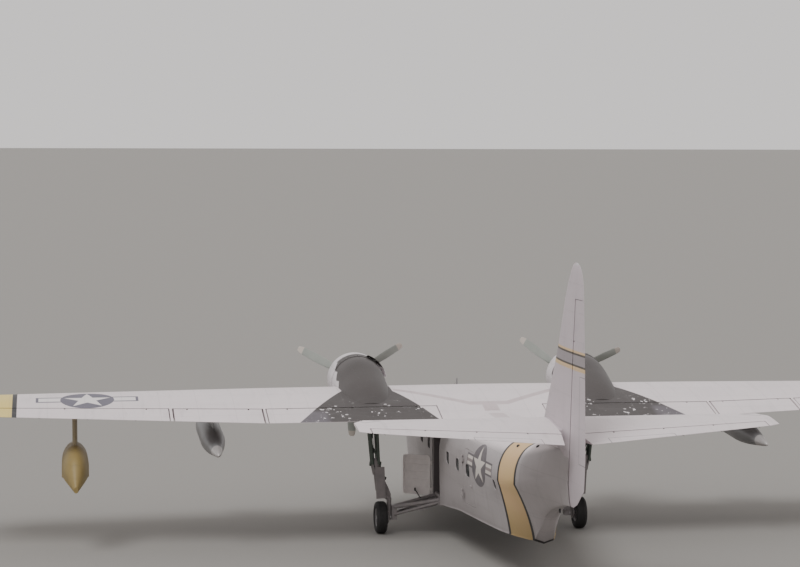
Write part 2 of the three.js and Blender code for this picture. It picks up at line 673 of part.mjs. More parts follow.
for (const [name, side] of sides) {
  const half = side > 0 ? [0, 3000] : [-3000, 0];
  const wallRange = between(COCKPIT_END + SEAM, CABIN_END - SEAM, FLOOR_Z, ROOF_SPLIT_Z - SEAM, ...half);
  const casing = hullOuter.intersect(between(WELL.from - WELL.wall, WELL.to + WELL.wall, FLOOR_Z, ROOF_SPLIT_Z - SEAM,
    ...[side * (WELL.depthY - WELL.wall), side * 3000].sort((a, b) => a - b)));
  let wall = hullShell.intersect(wallRange).add(casing).subtract(wheelRoom(side));
  for (const station of cabinWindows) wall = wall.subtract(windowHole(station, ...half));
  if (side > 0) wall = unite([wall.subtract(doorway(0)), ...doorwayKnuckles()]);
  addMesh(`cabin_wall_${name}`, wall, hullGrey);
}

const boardRing = (station) => hullRing(station, HULL_SKIN + BOARD_GAP);
const boardStations = [COCKPIT_END + BOARD_END_GAP, ...hullStations.filter((station) =>
  station > COCKPIT_END + BOARD_END_GAP && station < CABIN_END - BOARD_END_GAP), CABIN_END - BOARD_END_GAP];
const wellCasings = sides.map(([, side]) => {
  const across = [side * (WELL.depthY - WELL.wall - BOARD_GAP), side * 3000].sort((a, b) => a - b);
  return between(WELL.from - WELL.wall - BOARD_GAP, WELL.to + WELL.wall + BOARD_GAP, 0, 9000, ...across);
});
const board = loft(boardStations.map(boardRing)).intersect(between(0, LENGTH, FLOOR_Z, FLOOR_Z + BOARD_THICKNESS))
  .subtract(wellCasings[0]).subtract(wellCasings[1]);
addMesh('cabin_floor', board, boardGrey);

const roof = hullShell.intersect(between(COCKPIT_END + SEAM, CABIN_END - SEAM, ROOF_SPLIT_Z)).subtract(wingCentreGrown);
addMesh('cabin_roof', roof, hullGrey);

// Cabin door, a little smaller than its hole, on two knuckles outside the skin at its front edge
const doorKnuckles = DOOR.knuckles.map((z) => {
  const x = at(doorHinge.s);
  return tube([x, doorHinge.y, z - 50], [x, doorHinge.y, z + 50], DOOR.pin)
    .add(box([x - 60, doorHinge.y - 8, z - 40], [x, doorHinge.y + 8, z + 40]))
    .add(box([x - 60, doorHinge.y - 90, z - 40], [x - 40, doorHinge.y + 8, z + 40]));
});
const doorSkin = hullShell.intersect(doorway(DOOR.gap)).subtract(windowHole(DOOR_WINDOW, 0, 3000));
addMesh('cabin_door', unite([doorSkin, ...doorKnuckles]), hullGrey);

// Cockpit shell with its windows, and one glazing band behind them
const cockpitRange = between(BOW_END, COCKPIT_END, FLOOR_Z);
const GLAZING = 14;
const cockpitWindows = [];
for (const [, side] of sides) {
  const [low, high] = side > 0 ? [45, 640] : [-640, -45];
  cockpitWindows.push(between(2230, 2820, 2900, 3900, low, high));
  const half = side > 0 ? [720, 3000] : [-3000, -720];
  cockpitWindows.push(between(2380, 2860, 2560, 2880, ...half));
  cockpitWindows.push(between(2960, 3560, 2560, 2960, ...half));
}
let cockpitShell = hullShell.intersect(cockpitRange);
for (const window of cockpitWindows) cockpitShell = cockpitShell.subtract(window);
addMesh('cockpit_shell', cockpitShell, hullGrey);

const glazingStations = hullStations.filter((station) => station >= BOW_END && station <= COCKPIT_END);
const glazingOuter = loft(glazingStations.map((station) => hullRing(station, HULL_SKIN + SEAM)));
const glazingInner = loft(glazingStations.map((station) => hullRing(station, HULL_SKIN + SEAM + GLAZING)));
const glazing = glazingOuter.subtract(glazingInner).intersect(between(2210, 3620, 2500, 3900));
addMesh('cockpit_glazing', glazing, glass);

const bulkhead = loft([COCKPIT_END + 1, COCKPIT_END + 41].map((station) => hullRing(station, HULL_SKIN + SEAM)))
  .intersect(between(0, LENGTH, FLOOR_Z + SEAM))
  .subtract(between(0, LENGTH, FLOOR_Z, 2950, -330, 330));
addMesh('cockpit_bulkhead', bulkhead, hullGrey);

const panelRing = (station) => [[-820, 2120], [820, 2120], [820, 2500], [420, 2700], [-420, 2700], [-820, 2500]]
  .map(([y, z]) => [at(station), y, z]);
const pedestal = box([at(2200), -200, FLOOR_Z + SEAM], [at(BOW_END + SEAM), 200, 2200]);
addMesh('instrument_panel', loft([2080, 2200].map(panelRing)).add(pedestal), blackGloss);

for (const [name, side] of sides) {
  const y = side * 460;
  const seat = unite([
    box([at(3450), y - 240, 1950], [at(2980), y + 240, 2070]),
    box([at(3560), y - 240, 1950], [at(3430), y + 240, 2760]),
    box([at(3360), y - 150, FLOOR_Z + SEAM], [at(3060), y + 150, 1960]),
  ]);
  addMesh(`pilot_seat_${name}`, seat, seatGrey);
}

// Nose radome: a thimble on the bow's front
const RADOME_Z = 2405;
const RADOME_LENGTH = hullTable[0][0] - SEAM;
const radome = turned([
  [0, 0], [60, 6], [150, 50], [225, 140], [275, 280], [300, 460], [295, RADOME_LENGTH], [0, RADOME_LENGTH],
].map(([r, l]) => [r, -l]).reverse(), [at(0), 0, RADOME_Z], [1, 0, 0], 24);
addMesh('nose_radome', radome, blackGloss);

// Solid tail, with room for the rudder's nose
const tailHollow = loft([CABIN_END - 1, ...hullStations.filter((station) => station > CABIN_END && station <= 17000)]
  .map((station) => hullRing(station, TAIL_SKIN)));
const tail = hullOuter.intersect(between(CABIN_END, HULL_END)).subtract(tailHollow)
  .subtract(windowHole(TAIL_WINDOW, -3000, 3000, TAIL_WINDOW_LENGTH, TAIL_WINDOW_HEIGHT)).subtract(rudderRoom).add(rudderFixed[0]);
addMesh('tail_cone', tail, hullGrey);

// Nacelles, cowls, engines and propellers
// columns: station, half width, top z, bottom z
const nacelleTable = [
  [FIREWALL, 720, 4530, 3090],
  [6500, 715, 4500, 2960],
  [7400, 690, 4230, 2880],
  [8100, 640, 3960, 2900],
  [NACELLE_END, 560, 3600, 3000],
];
const NACELLE_POINTS = 20;

function nacelleRing(side, [station, half, top, low]) {
  const ring = [];
  for (let i = 0; i < NACELLE_POINTS; i += 1) {
    const angle = (2 * Math.PI * i) / NACELLE_POINTS;
    const y = side * ENGINE_Y + half * Math.cos(angle);
    ring.push([at(station), y, (top + low) / 2 + ((top - low) / 2) * Math.sin(angle)]);
  }
  return ring;
}

const CYLINDERS = 9;
for (const [name, side] of sides) {
  const axisPoint = (station) => [at(station), side * ENGINE_Y, ENGINE_Z];
  const nacelle = loft(nacelleTable.map((row) => nacelleRing(side, row))).subtract(wingCentreGrown);
  addMesh(`nacelle_${name}`, nacelle, nacelleGrey);

  const cowlLength = FIREWALL - COWL_FRONT;
  const cowl = turned([
    [600, -60], [620, -8], [650, 0], [690, -12], [728, -90], [745, -260], [735, -cowlLength + SEAM],
    [690, -cowlLength + SEAM], [690, -200], [600, -60],
  ].reverse(), axisPoint(COWL_FRONT), [1, 0, 0], 24);
  addMesh(`cowl_${name}`, cowl, cowlWhite);

  const engineParts = [turned([
    [0, 0], [SHAFT_RADIUS, 0], [SHAFT_RADIUS, -150], [120, -165], [190, -260], [235, -420], [300, -480], [300, -870],
    [560, -900], [560, -(FIREWALL - PROPELLER_S - 60) + SEAM], [0, -(FIREWALL - PROPELLER_S - 60) + SEAM],
  ].reverse(), axisPoint(PROPELLER_S + 60), [1, 0, 0], SHAFT_SIDES)];
  for (let i = 0; i < CYLINDERS; i += 1) {
    const angle = (2 * Math.PI * i) / CYLINDERS;
    const foot = [at(5560), side * ENGINE_Y + 200 * Math.sin(angle), ENGINE_Z + 200 * Math.cos(angle)];
    const head = [at(5560), side * ENGINE_Y + 655 * Math.sin(angle), ENGINE_Z + 655 * Math.cos(angle)];
    engineParts.push(tube(foot, head, 120, 120, 8));
  }
  addMesh(`engine_${name}`, unite(engineParts), engineGrey);

  const hub = turned([
    [0, 190], [60, 180], [95, 140], [110, 60], [150, 40], [150, -50], [110, -75], [50, -75], [50, -60], [0, -60],
  ].reverse(), axisPoint(PROPELLER_S), [1, 0, 0], SHAFT_SIDES)
    .subtract(tube(axisPoint(PROPELLER_S + 40), axisPoint(PROPELLER_S + 90), SHAFT_BORE, SHAFT_BORE, SHAFT_SIDES));
  // columns: radius, chord, thickness, twist in degrees from the plane of rotation
  const bladeTable = [
    [90, 130, 130, 56],
    [300, 150, 110, 52],
    [620, 245, 62, 42],
    [1000, 270, 36, 32],
    [1450, 225, 22, 24],
    [PROPELLER_RADIUS, 70, 8, 20],
  ];
  const bladeRing = (turn, [radius, chord, thickness, twist]) => {
    const ring = [];
    for (let i = 0; i < BLADE_POINTS; i += 1) {
      const angle = (2 * Math.PI * i) / BLADE_POINTS;
      const across = (chord / 2) * Math.cos(angle);
      const deep = (thickness / 2) * Math.sin(angle);
      const inPlane = across * Math.cos(rad(twist)) + deep * Math.sin(rad(twist));
      const forward = deep * Math.cos(rad(twist)) - across * Math.sin(rad(twist));
      const y = radius * Math.sin(turn) + inPlane * Math.cos(turn);
      const z = radius * Math.cos(turn) - inPlane * Math.sin(turn);
      ring.push([at(PROPELLER_S) + forward, side * ENGINE_Y + y, ENGINE_Z + z]);
    }
    return ring;
  };
  const blades = [];
  for (let i = 0; i < BLADES; i += 1) {
    const turn = rad(PROPELLER_TURN[name] + 60 + (360 * i) / BLADES);
    blades.push(loft(bladeTable.map((row) => bladeRing(turn, row))));
  }
  addMesh(`propeller_${name}`, unite([hub, ...blades]), bladeGrey);
}

// Wing floats, each with its pylon
// columns: station, keel z, chine half width, chine z, side half width, side z, top z
const floatTable = [
  [6900, 2240, 40, 2260, 60, 2300, 2360],
  [7150, 1900, 190, 2060, 210, 2180, 2470],
  [7700, 1640, 320, 1880, 335, 2080, 2580],
  [8550, 1520, 345, 1800, 345, 2060, 2610],
  [8580, 1590, 340, 1830, 343, 2060, 2610],
  [9300, 1610, 240, 1790, 260, 1990, 2420],
  [9900, 1600, 40, 1620, 55, 1660, 1760],
];

function floatRing(side, [station, keel, chineY, chineZ, sideY, sideZ, top]) {
  const half = [[chineY, chineZ], [sideY, sideZ]];
  for (let i = 1; i < 5; i += 1) {
    const angle = (i / 5) * Math.PI / 2;
    half.push([sideY * Math.cos(angle), sideZ + (top - sideZ) * Math.sin(angle)]);
  }
  const ring = [[0, keel], ...half, [0, top], ...half.reverse().map(([y, z]) => [-y, z])];
  return ring.map(([y, z]) => [at(station), side * FLOAT_Y + y, z]);
}

// A streamlined pylon between two heights
function pylon(y, lowZ, highZ, stations, thickness) {
  const [lowFrom, lowTo, highFrom, highTo] = stations;
  const ring = (from, to, z) => airfoilRing({
    edge: [at(from), y, z], aft: [-1, 0, 0], up: [0, 1, 0], chord: to - from, thickness, camber: 0,
  });
  return loft([ring(lowFrom, lowTo, lowZ), ring(highFrom, highTo, highZ)]);
}

for (const [name, side] of sides) {
  const outerGrown = loft([WING_JOINT_Y, 14050].map((y) => airfoilRing(wingSection(y, side), SEAM)));
  const floatBody = loft(floatTable.map((row) => floatRing(side, row)))
    .add(pylon(side * FLOAT_Y, 2500, 3500, [7750, 8650, 7500, 8400], 130))
    .subtract(outerGrown);
  addMesh(`float_${name}`, floatBody.decompose().sort((a, b) => b.volume() - a.volume())[0], ochre);

  const tank = turned([
    [0, 0], [90, -60], [190, -260], [270, -620], [TANK_RADIUS, -1200], [TANK_RADIUS, -3000],
    [282, -3500], [225, -3960], [150, -4450], [90, -4830], [40, -5050], [0, -5100],
  ].reverse(), [at(TANK_NOSE), side * TANK_Y, TANK_Z], [Math.cos(rad(2.5)), 0, Math.sin(rad(2.5))], 18)
    .add(pylon(side * TANK_Y, 2700, 3500, [6550, 8250, 6650, 8400], 120))
    .subtract(outerGrown);
  addMesh(`tank_${name}`, tank.decompose().sort((a, b) => b.volume() - a.volume())[0], silver);
}

// Main gear: a leg under each nacelle, a plated frame from the hull's side to the hub, and the wheel
const FRAME = {
  from: 7760, to: 8560, y: 1150, z: 985, lowZ: 935, outerZ: 690, outerLowZ: 480,
  radius: 50, lowRadius: 42, pivotRadius: 60, plate: 24,
};
const HUB_BLOCK = { halfLength: 100, width: 140, low: 365, high: 750 };

function wheelSolid(centre, radius, width, bore, sides) {
  const half = width / 2;
  return turned([
    [bore, -half * 0.6], [radius * 0.5, -half * 0.5], [radius * 0.54, -half * 0.82], [radius * 0.72, -half],
    [radius * 0.9, -half * 0.88], [radius, -half * 0.35], [radius, half * 0.35], [radius * 0.9, half * 0.88],
    [radius * 0.72, half], [radius * 0.54, half * 0.82], [radius * 0.5, half * 0.5], [bore, half * 0.6],
    [bore, -half * 0.6],
  ], centre, [0, 1, 0], sides);
}

for (const [name, side] of sides) {
  const p = (station, y, z) => [at(station), side * y, z];
  const hubZ = WHEEL_RADIUS;
  addMesh(`wheel_${name}`, wheelSolid(p(WHEEL_S, WHEEL_Y, hubZ), WHEEL_RADIUS, WHEEL_WIDTH, AXLE_BORE, 24), rubber);
  const inner = WHEEL_Y - WHEEL_WIDTH / 2 - 75;
  const leg = unite([
    tube(p(WHEEL_S, 3020, 3200), p(WHEEL_S, 2860, 1860), 85, 85, 10),
    tube(p(WHEEL_S, 2900, 2050), p(WHEEL_S, 2790, 1600), 120, 110, 10),
    tube(p(WHEEL_S, 2800, 1650), p(WHEEL_S, 2735, 1060), 95, 95, 10),
    tube(p(WHEEL_S, 2755, 1130), p(WHEEL_S, inner, 930), 70, 62, 10),
    tube(p(WHEEL_S, inner, 960), p(WHEEL_S, inner, hubZ - 70), 55, 55, 10),
    tube(p(WHEEL_S, inner - 60, hubZ), p(WHEEL_S, WHEEL_Y + WHEEL_WIDTH / 2 - 30, hubZ), AXLE_RADIUS, AXLE_RADIUS, 24),
  ]);
  const nacelleGrown = loft(nacelleTable.map(([station, half, top, low]) =>
    nacelleRing(side, [station, half + SEAM, top + SEAM, low - SEAM])));
  addMesh(`gear_leg_${name}`, leg.subtract(nacelleGrown), gearGreen);

  const frameEnd = inner - 60 - SEAM;
  const outerY = frameEnd - 20;
  const outerEnds = [[FRAME.from, WHEEL_S - 40], [FRAME.to, WHEEL_S + 40]];
  const plateRing = (lift) => [
    p(FRAME.from, FRAME.y, FRAME.lowZ + lift), p(FRAME.to, FRAME.y, FRAME.lowZ + lift),
    p(WHEEL_S + 40, outerY, FRAME.outerLowZ + lift), p(WHEEL_S - 40, outerY, FRAME.outerLowZ + lift),
  ];
  const frame = unite([
    ...outerEnds.map(([from, to]) => tube(p(from, FRAME.y, FRAME.z), p(to, outerY, FRAME.outerZ), FRAME.radius)),
    ...outerEnds.map(([from, to]) => tube(p(from, FRAME.y, FRAME.lowZ), p(to, outerY, FRAME.outerLowZ), FRAME.lowRadius)),
    tube(p(WELL.from + SEAM, FRAME.y, FRAME.z), p(WELL.to - SEAM, FRAME.y, FRAME.z), FRAME.pivotRadius),
    box(p(WHEEL_S - HUB_BLOCK.halfLength, frameEnd - HUB_BLOCK.width, HUB_BLOCK.low),
      p(WHEEL_S + HUB_BLOCK.halfLength, frameEnd, HUB_BLOCK.high)),
    loft([plateRing(-FRAME.plate / 2), plateRing(FRAME.plate / 2)]),
  ]);
  addMesh(`gear_frame_${name}`, frame, gearGreen);
}

// Wheel well doors, open at the wells' front edges, each on two lugs at the hull's side
const WELL_DOOR = {
  hinge: 7600, hingeY: 1315, tip: 7200, tipY: 1990, low: 930, high: 2000, half: 18, lugs: [1080, 1800], lugHalf: 50,
};
const hullSideGrown = loft([6100, 8750].map((station) => hullRing(station, -SEAM)));

for (const [name, side] of sides) {
  const reach = Math.hypot(WELL_DOOR.tip - WELL_DOOR.hinge, WELL_DOOR.tipY - WELL_DOOR.hingeY);
  const aft = WELL_DOOR.half * (WELL_DOOR.tipY - WELL_DOOR.hingeY) / reach;
  const out = WELL_DOOR.half * (WELL_DOOR.hinge - WELL_DOOR.tip) / reach;
  const ring = (z) => [
    [at(WELL_DOOR.hinge + aft), side * (WELL_DOOR.hingeY + out), z], [at(WELL_DOOR.tip + aft), side * (WELL_DOOR.tipY + out), z],
    [at(WELL_DOOR.tip - aft), side * (WELL_DOOR.tipY - out), z], [at(WELL_DOOR.hinge - aft), side * (WELL_DOOR.hingeY - out), z],
  ];
  const lugs = WELL_DOOR.lugs.map((z) => box([at(WELL_DOOR.hinge + 40), side * 1200, z - WELL_DOOR.lugHalf],
    [at(WELL_DOOR.hinge - 30), side * (WELL_DOOR.hingeY + 20), z + WELL_DOOR.lugHalf]));
  const door = unite([loft([ring(WELL_DOOR.low), ring(WELL_DOOR.high)]), ...lugs]).subtract(hullSideGrown);
  addMesh(`well_door_${name}`, door, hullGrey);
}

// Nose gear: a leg in its well, a fork that steers, and twin wheels on one axle
const noseZ = NOSE_WHEEL_RADIUS;
const STEER_SEAT_Z = 1010;
const noseLeg = unite([
  tube([at(NOSE_WHEEL_S), 0, NOSE_WELL.high - SEAM], [at(NOSE_WHEEL_S), 0, STEER_SEAT_Z], 90, 90, 16),
  tube([at(NOSE_WHEEL_S), 0, STEER_SEAT_Z + 60], [at(NOSE_WELL.from + 30), 0, NOSE_WELL.high - 40], 45),
]).intersect(between(NOSE_WELL.from, NOSE_WELL.to, 0, NOSE_WELL.high - SEAM));
addMesh('nose_leg', noseLeg, gearGreen);
const noseFork = unite([
  tube([at(NOSE_WHEEL_S), 0, STEER_SEAT_Z - SEAM], [at(NOSE_WHEEL_S), 0, noseZ - 30], 60, 60, 16),
  tube([at(NOSE_WHEEL_S), 0, STEER_SEAT_Z - SEAM], [at(NOSE_WHEEL_S), 0, 880], 95, 95, 16),
  tube([at(NOSE_WHEEL_S), -NOSE_WHEEL_Y - 60, noseZ], [at(NOSE_WHEEL_S), NOSE_WHEEL_Y + 60, noseZ], 39.2, 39.2, 20),
]);
addMesh('nose_fork', noseFork, gearGreen);
const nosePair = [1, -1].map((side) =>
  wheelSolid([at(NOSE_WHEEL_S), side * NOSE_WHEEL_Y, noseZ], NOSE_WHEEL_RADIUS, NOSE_WHEEL_WIDTH, NOSE_BORE, 20));
addMesh('nose_wheel_left', nosePair[0], rubber);
addMesh('nose_wheel_right', nosePair[1], rubber);

export default plane;
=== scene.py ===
# Looks of the twin-engine amphibious transport plane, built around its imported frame. Metres, +X forward, +Z up.
import json
import math

import bmesh
import bpy
import numpy as np
from mathutils import Euler, Matrix, Vector


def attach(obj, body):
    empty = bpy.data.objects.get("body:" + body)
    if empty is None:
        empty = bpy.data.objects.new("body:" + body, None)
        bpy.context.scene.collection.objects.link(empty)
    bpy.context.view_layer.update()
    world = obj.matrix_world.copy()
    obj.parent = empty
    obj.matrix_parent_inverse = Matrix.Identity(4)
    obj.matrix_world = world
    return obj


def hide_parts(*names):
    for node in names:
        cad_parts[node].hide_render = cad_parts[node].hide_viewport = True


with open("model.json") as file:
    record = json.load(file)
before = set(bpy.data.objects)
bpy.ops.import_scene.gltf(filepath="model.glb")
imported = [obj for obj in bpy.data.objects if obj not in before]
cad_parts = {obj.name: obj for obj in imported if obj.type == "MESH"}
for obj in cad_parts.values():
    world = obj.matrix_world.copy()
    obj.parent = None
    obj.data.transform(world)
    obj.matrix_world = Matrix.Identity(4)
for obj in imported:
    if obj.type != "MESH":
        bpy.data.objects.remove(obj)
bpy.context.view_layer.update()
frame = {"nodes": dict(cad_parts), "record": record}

MM = 0.001
LENGTH, HEIGHT = 19.15, 7.88
SIDES = (("left", 1), ("right", -1))
SLOTS = {row["node"]: row["material_slot"] for row in frame["record"]["subparts"]}
# places are (station aft of the nose, y, z), and these are directions there
AFT, OUT, UP = Vector((1, 0, 0)), Vector((0, 1, 0)), Vector((0, 0, 1))


def circle_turns(count):
    return [2 * math.pi * k / count for k in range(count)]


# Curves through tables
def slopes(keys, rows):
    steps = np.diff(rows, axis=0) / np.diff(keys)[:, None]
    found = np.zeros_like(rows)
    found[0], found[-1] = steps[0], steps[-1]
    before, after = steps[:-1], steps[1:]
    total = np.where(np.abs(before + after) > 1e-12, before + after, 1)
    found[1:-1] = np.where(before * after > 0, 2 * before * after / total, 0)
    return found


class Table:
    """Rows on smooth curves of the first column, with kinks only at the breaks."""

    def __init__(self, rows, breaks=()):
        rows = np.array(rows, float) * MM
        self.keys, self.low, self.parts = rows[:, 0], rows[0, 0], []
        edges = [self.low, *breaks, rows[-1, 0]]
        for low, high in zip(edges[:-1], edges[1:]):
            part = rows[(self.keys >= low - 1e-9) & (self.keys <= high + 1e-9)]
            self.parts.append((part[:, 0], part[:, 1:], slopes(part[:, 0], part[:, 1:])))

    def __call__(self, key):
        key = min(max(key, self.low), self.keys[-1])
        keys, rows, slope = next(part for part in self.parts if key <= part[0][-1] + 1e-9)
        i = min(max(int(np.searchsorted(keys, key)) - 1, 0), len(keys) - 2)
        span = keys[i + 1] - keys[i]
        t = (key - keys[i]) / span
        a = (1 + 2 * t) * (1 - t) ** 2 * rows[i] + t * t * (3 - 2 * t) * rows[i + 1]
        return a + span * t * (1 - t) * ((1 - t) * slope[i] - t * slope[i + 1])


def straight(rows, key):
    rows = np.array(rows, float) * MM
    return [np.interp(key, rows[:, 0], column) for column in rows.T[1:]]


# Meshes
class Shape:
    """Points and faces that grow by simple bodies at (station, y, z); y counts towards the shape's side."""

    def __init__(self, side=1):
        self.side, self.points, self.faces = side, [], []

    def spot(self, place):
        return Vector((LENGTH / 2 - place[0], self.side * place[1], place[2]))

    def way(self, direction):
        return Vector((-direction[0], self.side * direction[1], direction[2]))

    def skin(self, rings, closed=False):
        """Faces over rings of points, with ends, or joined end to end."""
        count, rows, base = len(rings[0]), len(rings), len(self.points)
        faces = []
        for r in range(rows if closed else rows - 1):
            a, b = r * count, (r + 1) % rows * count
            faces += [(a + i, a + (i + 1) % count, b + (i + 1) % count, b + i) for i in range(count)]
        if not closed:
            faces += [tuple(range(count))[::-1], tuple((rows - 1) * count + i for i in range(count))]
        self.points += [tuple(p) for ring in rings for p in ring]
        self.faces += [tuple(base + i for i in face) for face in faces]
        return self

    def loft(self, rings, closed=False):
        return self.skin([[self.spot(p) for p in ring] for ring in rings], closed)

    def slices(self, ring, lows):
        """A flat outline of (station, y) rows between heights."""
        return self.loft([[(s, y, z) for s, y in ring] for z in lows])

    def box(self, low, high):
        (a, c, e), (b, d, f) = low, high
        return self.slices([(a, c), (b, c), (b, d), (a, d)], (e, f))

    def slab(self, centre, axes, low, high):
        """A box in its own directions around a centre."""
        centre, (a, b, c) = self.spot(centre), [self.way(axis) for axis in axes]
        ring = [(low[0], low[1]), (high[0], low[1]), (high[0], high[1]), (low[0], high[1])]
        return self.skin([[centre + a * i + b * j + c * k for i, j in ring] for k in (low[2], high[2])])

    def pipe(self, path, radius, sides=14, loop=False):
        """A round bar along places; radius is one value or one for each place."""
        path = [self.spot(p) for p in path]
        radii = [radius] * len(path) if np.isscalar(radius) else radius
        rings, across, count = [], None, len(path)
        for i, point in enumerate(path):
            after, before = ((i + 1) % count, i - 1) if loop else (min(i + 1, count - 1), max(i - 1, 0))
            ahead = (path[after] - path[before]).normalized()
            across = ahead.orthogonal() if across is None else across
            across = (across - ahead * across.dot(ahead)).normalized()
            other = ahead.cross(across)
            rings.append([point + (across * math.cos(a) + other * math.sin(a)) * radii[i]
                          for a in circle_turns(sides)])
        return self.skin(rings, loop)

    def turned(self, profile, centre, axis=AFT, sides=48):
        """A lathe body of (radius, distance along the axis) rows, closed on itself or on the axis."""
        centre, axis = self.spot(centre), self.way(axis).normalized()
        across = axis.orthogonal().normalized()
        other = axis.cross(across)
        rings = [[centre + axis * d + (across * math.cos(a) + other * math.sin(a)) * max(r, 1e-4)
                  for a in circle_turns(sides)] for r, d in profile]
        return self.skin(rings, profile[0][0] > 1e-6)

    def disc(self, radius, low, high, centre, axis=AFT, sides=48):
        return self.turned([(0, low), (radius, low), (radius, high), (0, high)], centre, axis, sides)

    def object(self, name="tool"):
        mesh = bpy.data.meshes.new(name)
        mesh.from_pydata(self.points, [], self.faces)
        work = bmesh.new()
        work.from_mesh(mesh)
        bmesh.ops.recalc_face_normals(work, faces=work.faces)
        work.to_mesh(mesh)
        work.free()
        made = bpy.data.objects.new(name, mesh)
        bpy.context.scene.collection.objects.link(made)
        return made


def each_side(*shapes):
    """Steps through both sides, and turns the shapes to each."""
    for name, side in SIDES:
        for shape in shapes:
            shape.side = side
        yield name, side


def combine(target, *tools, operation="DIFFERENCE"):
    """Cuts, joins or crosses a shape or piece with others, which are used up."""
    target, *tools = [each.object() if isinstance(each, Shape) else each for each in (target, *tools)]
    for tool in tools:
        modifier = target.modifiers.new("tool", "BOOLEAN")
        modifier.object, modifier.operation, modifier.solver = tool, operation, "MANIFOLD"
        graph = bpy.context.evaluated_depsgraph_get()
        mesh = bpy.data.meshes.new_from_object(target.evaluated_get(graph))
        target.modifiers.clear()
        old, target.data = target.data, mesh
        bpy.data.meshes.remove(old)
        bpy.data.objects.remove(tool)
    return target


def crossed(target, tool):
    return combine(target, tool, operation="INTERSECT")


def part(piece, name, body, material, *nodes, sharp=38, slot=None):
    """Puts a piece on its body, with its finish, in place of the frame's nodes; its slot argument is not used."""
    if isinstance(piece, Shape):
        piece = piece.object(name)
    piece.name = name
    piece.data.materials.clear()
    piece.data.materials.append(material)
    piece.data.shade_smooth()
    piece.data.set_sharp_from_angle(angle=math.radians(sharp))
    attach(piece, body)
    if nodes:
        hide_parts(*nodes)


def between(low, high, low_z=-1.0, high_z=9.0, low_y=-16.0, high_y=16.0, side=1):
    return Shape(side).box((low, low_y, low_z), (high, high_y, high_z))


# Materials
class Value:
    """A socket that works in sums: each makes a node. | takes the greater value."""

    def __init__(self, graph, socket):
        self.graph, self.socket = graph, socket

    def __add__(self, other):
        return self.graph.math("ADD", self, other)

    def __sub__(self, other):
        return self.graph.math("SUBTRACT", self, other)

    def __rsub__(self, other):
        return self.graph.math("SUBTRACT", other, self)

    def __mul__(self, other):
        return self.graph.math("MULTIPLY", self, other)

    def __or__(self, other):
        return self.graph.math("MAXIMUM", self, other)

    def __abs__(self):
        return self.graph.math("ABSOLUTE", self)

    __radd__, __rmul__ = __add__, __mul__


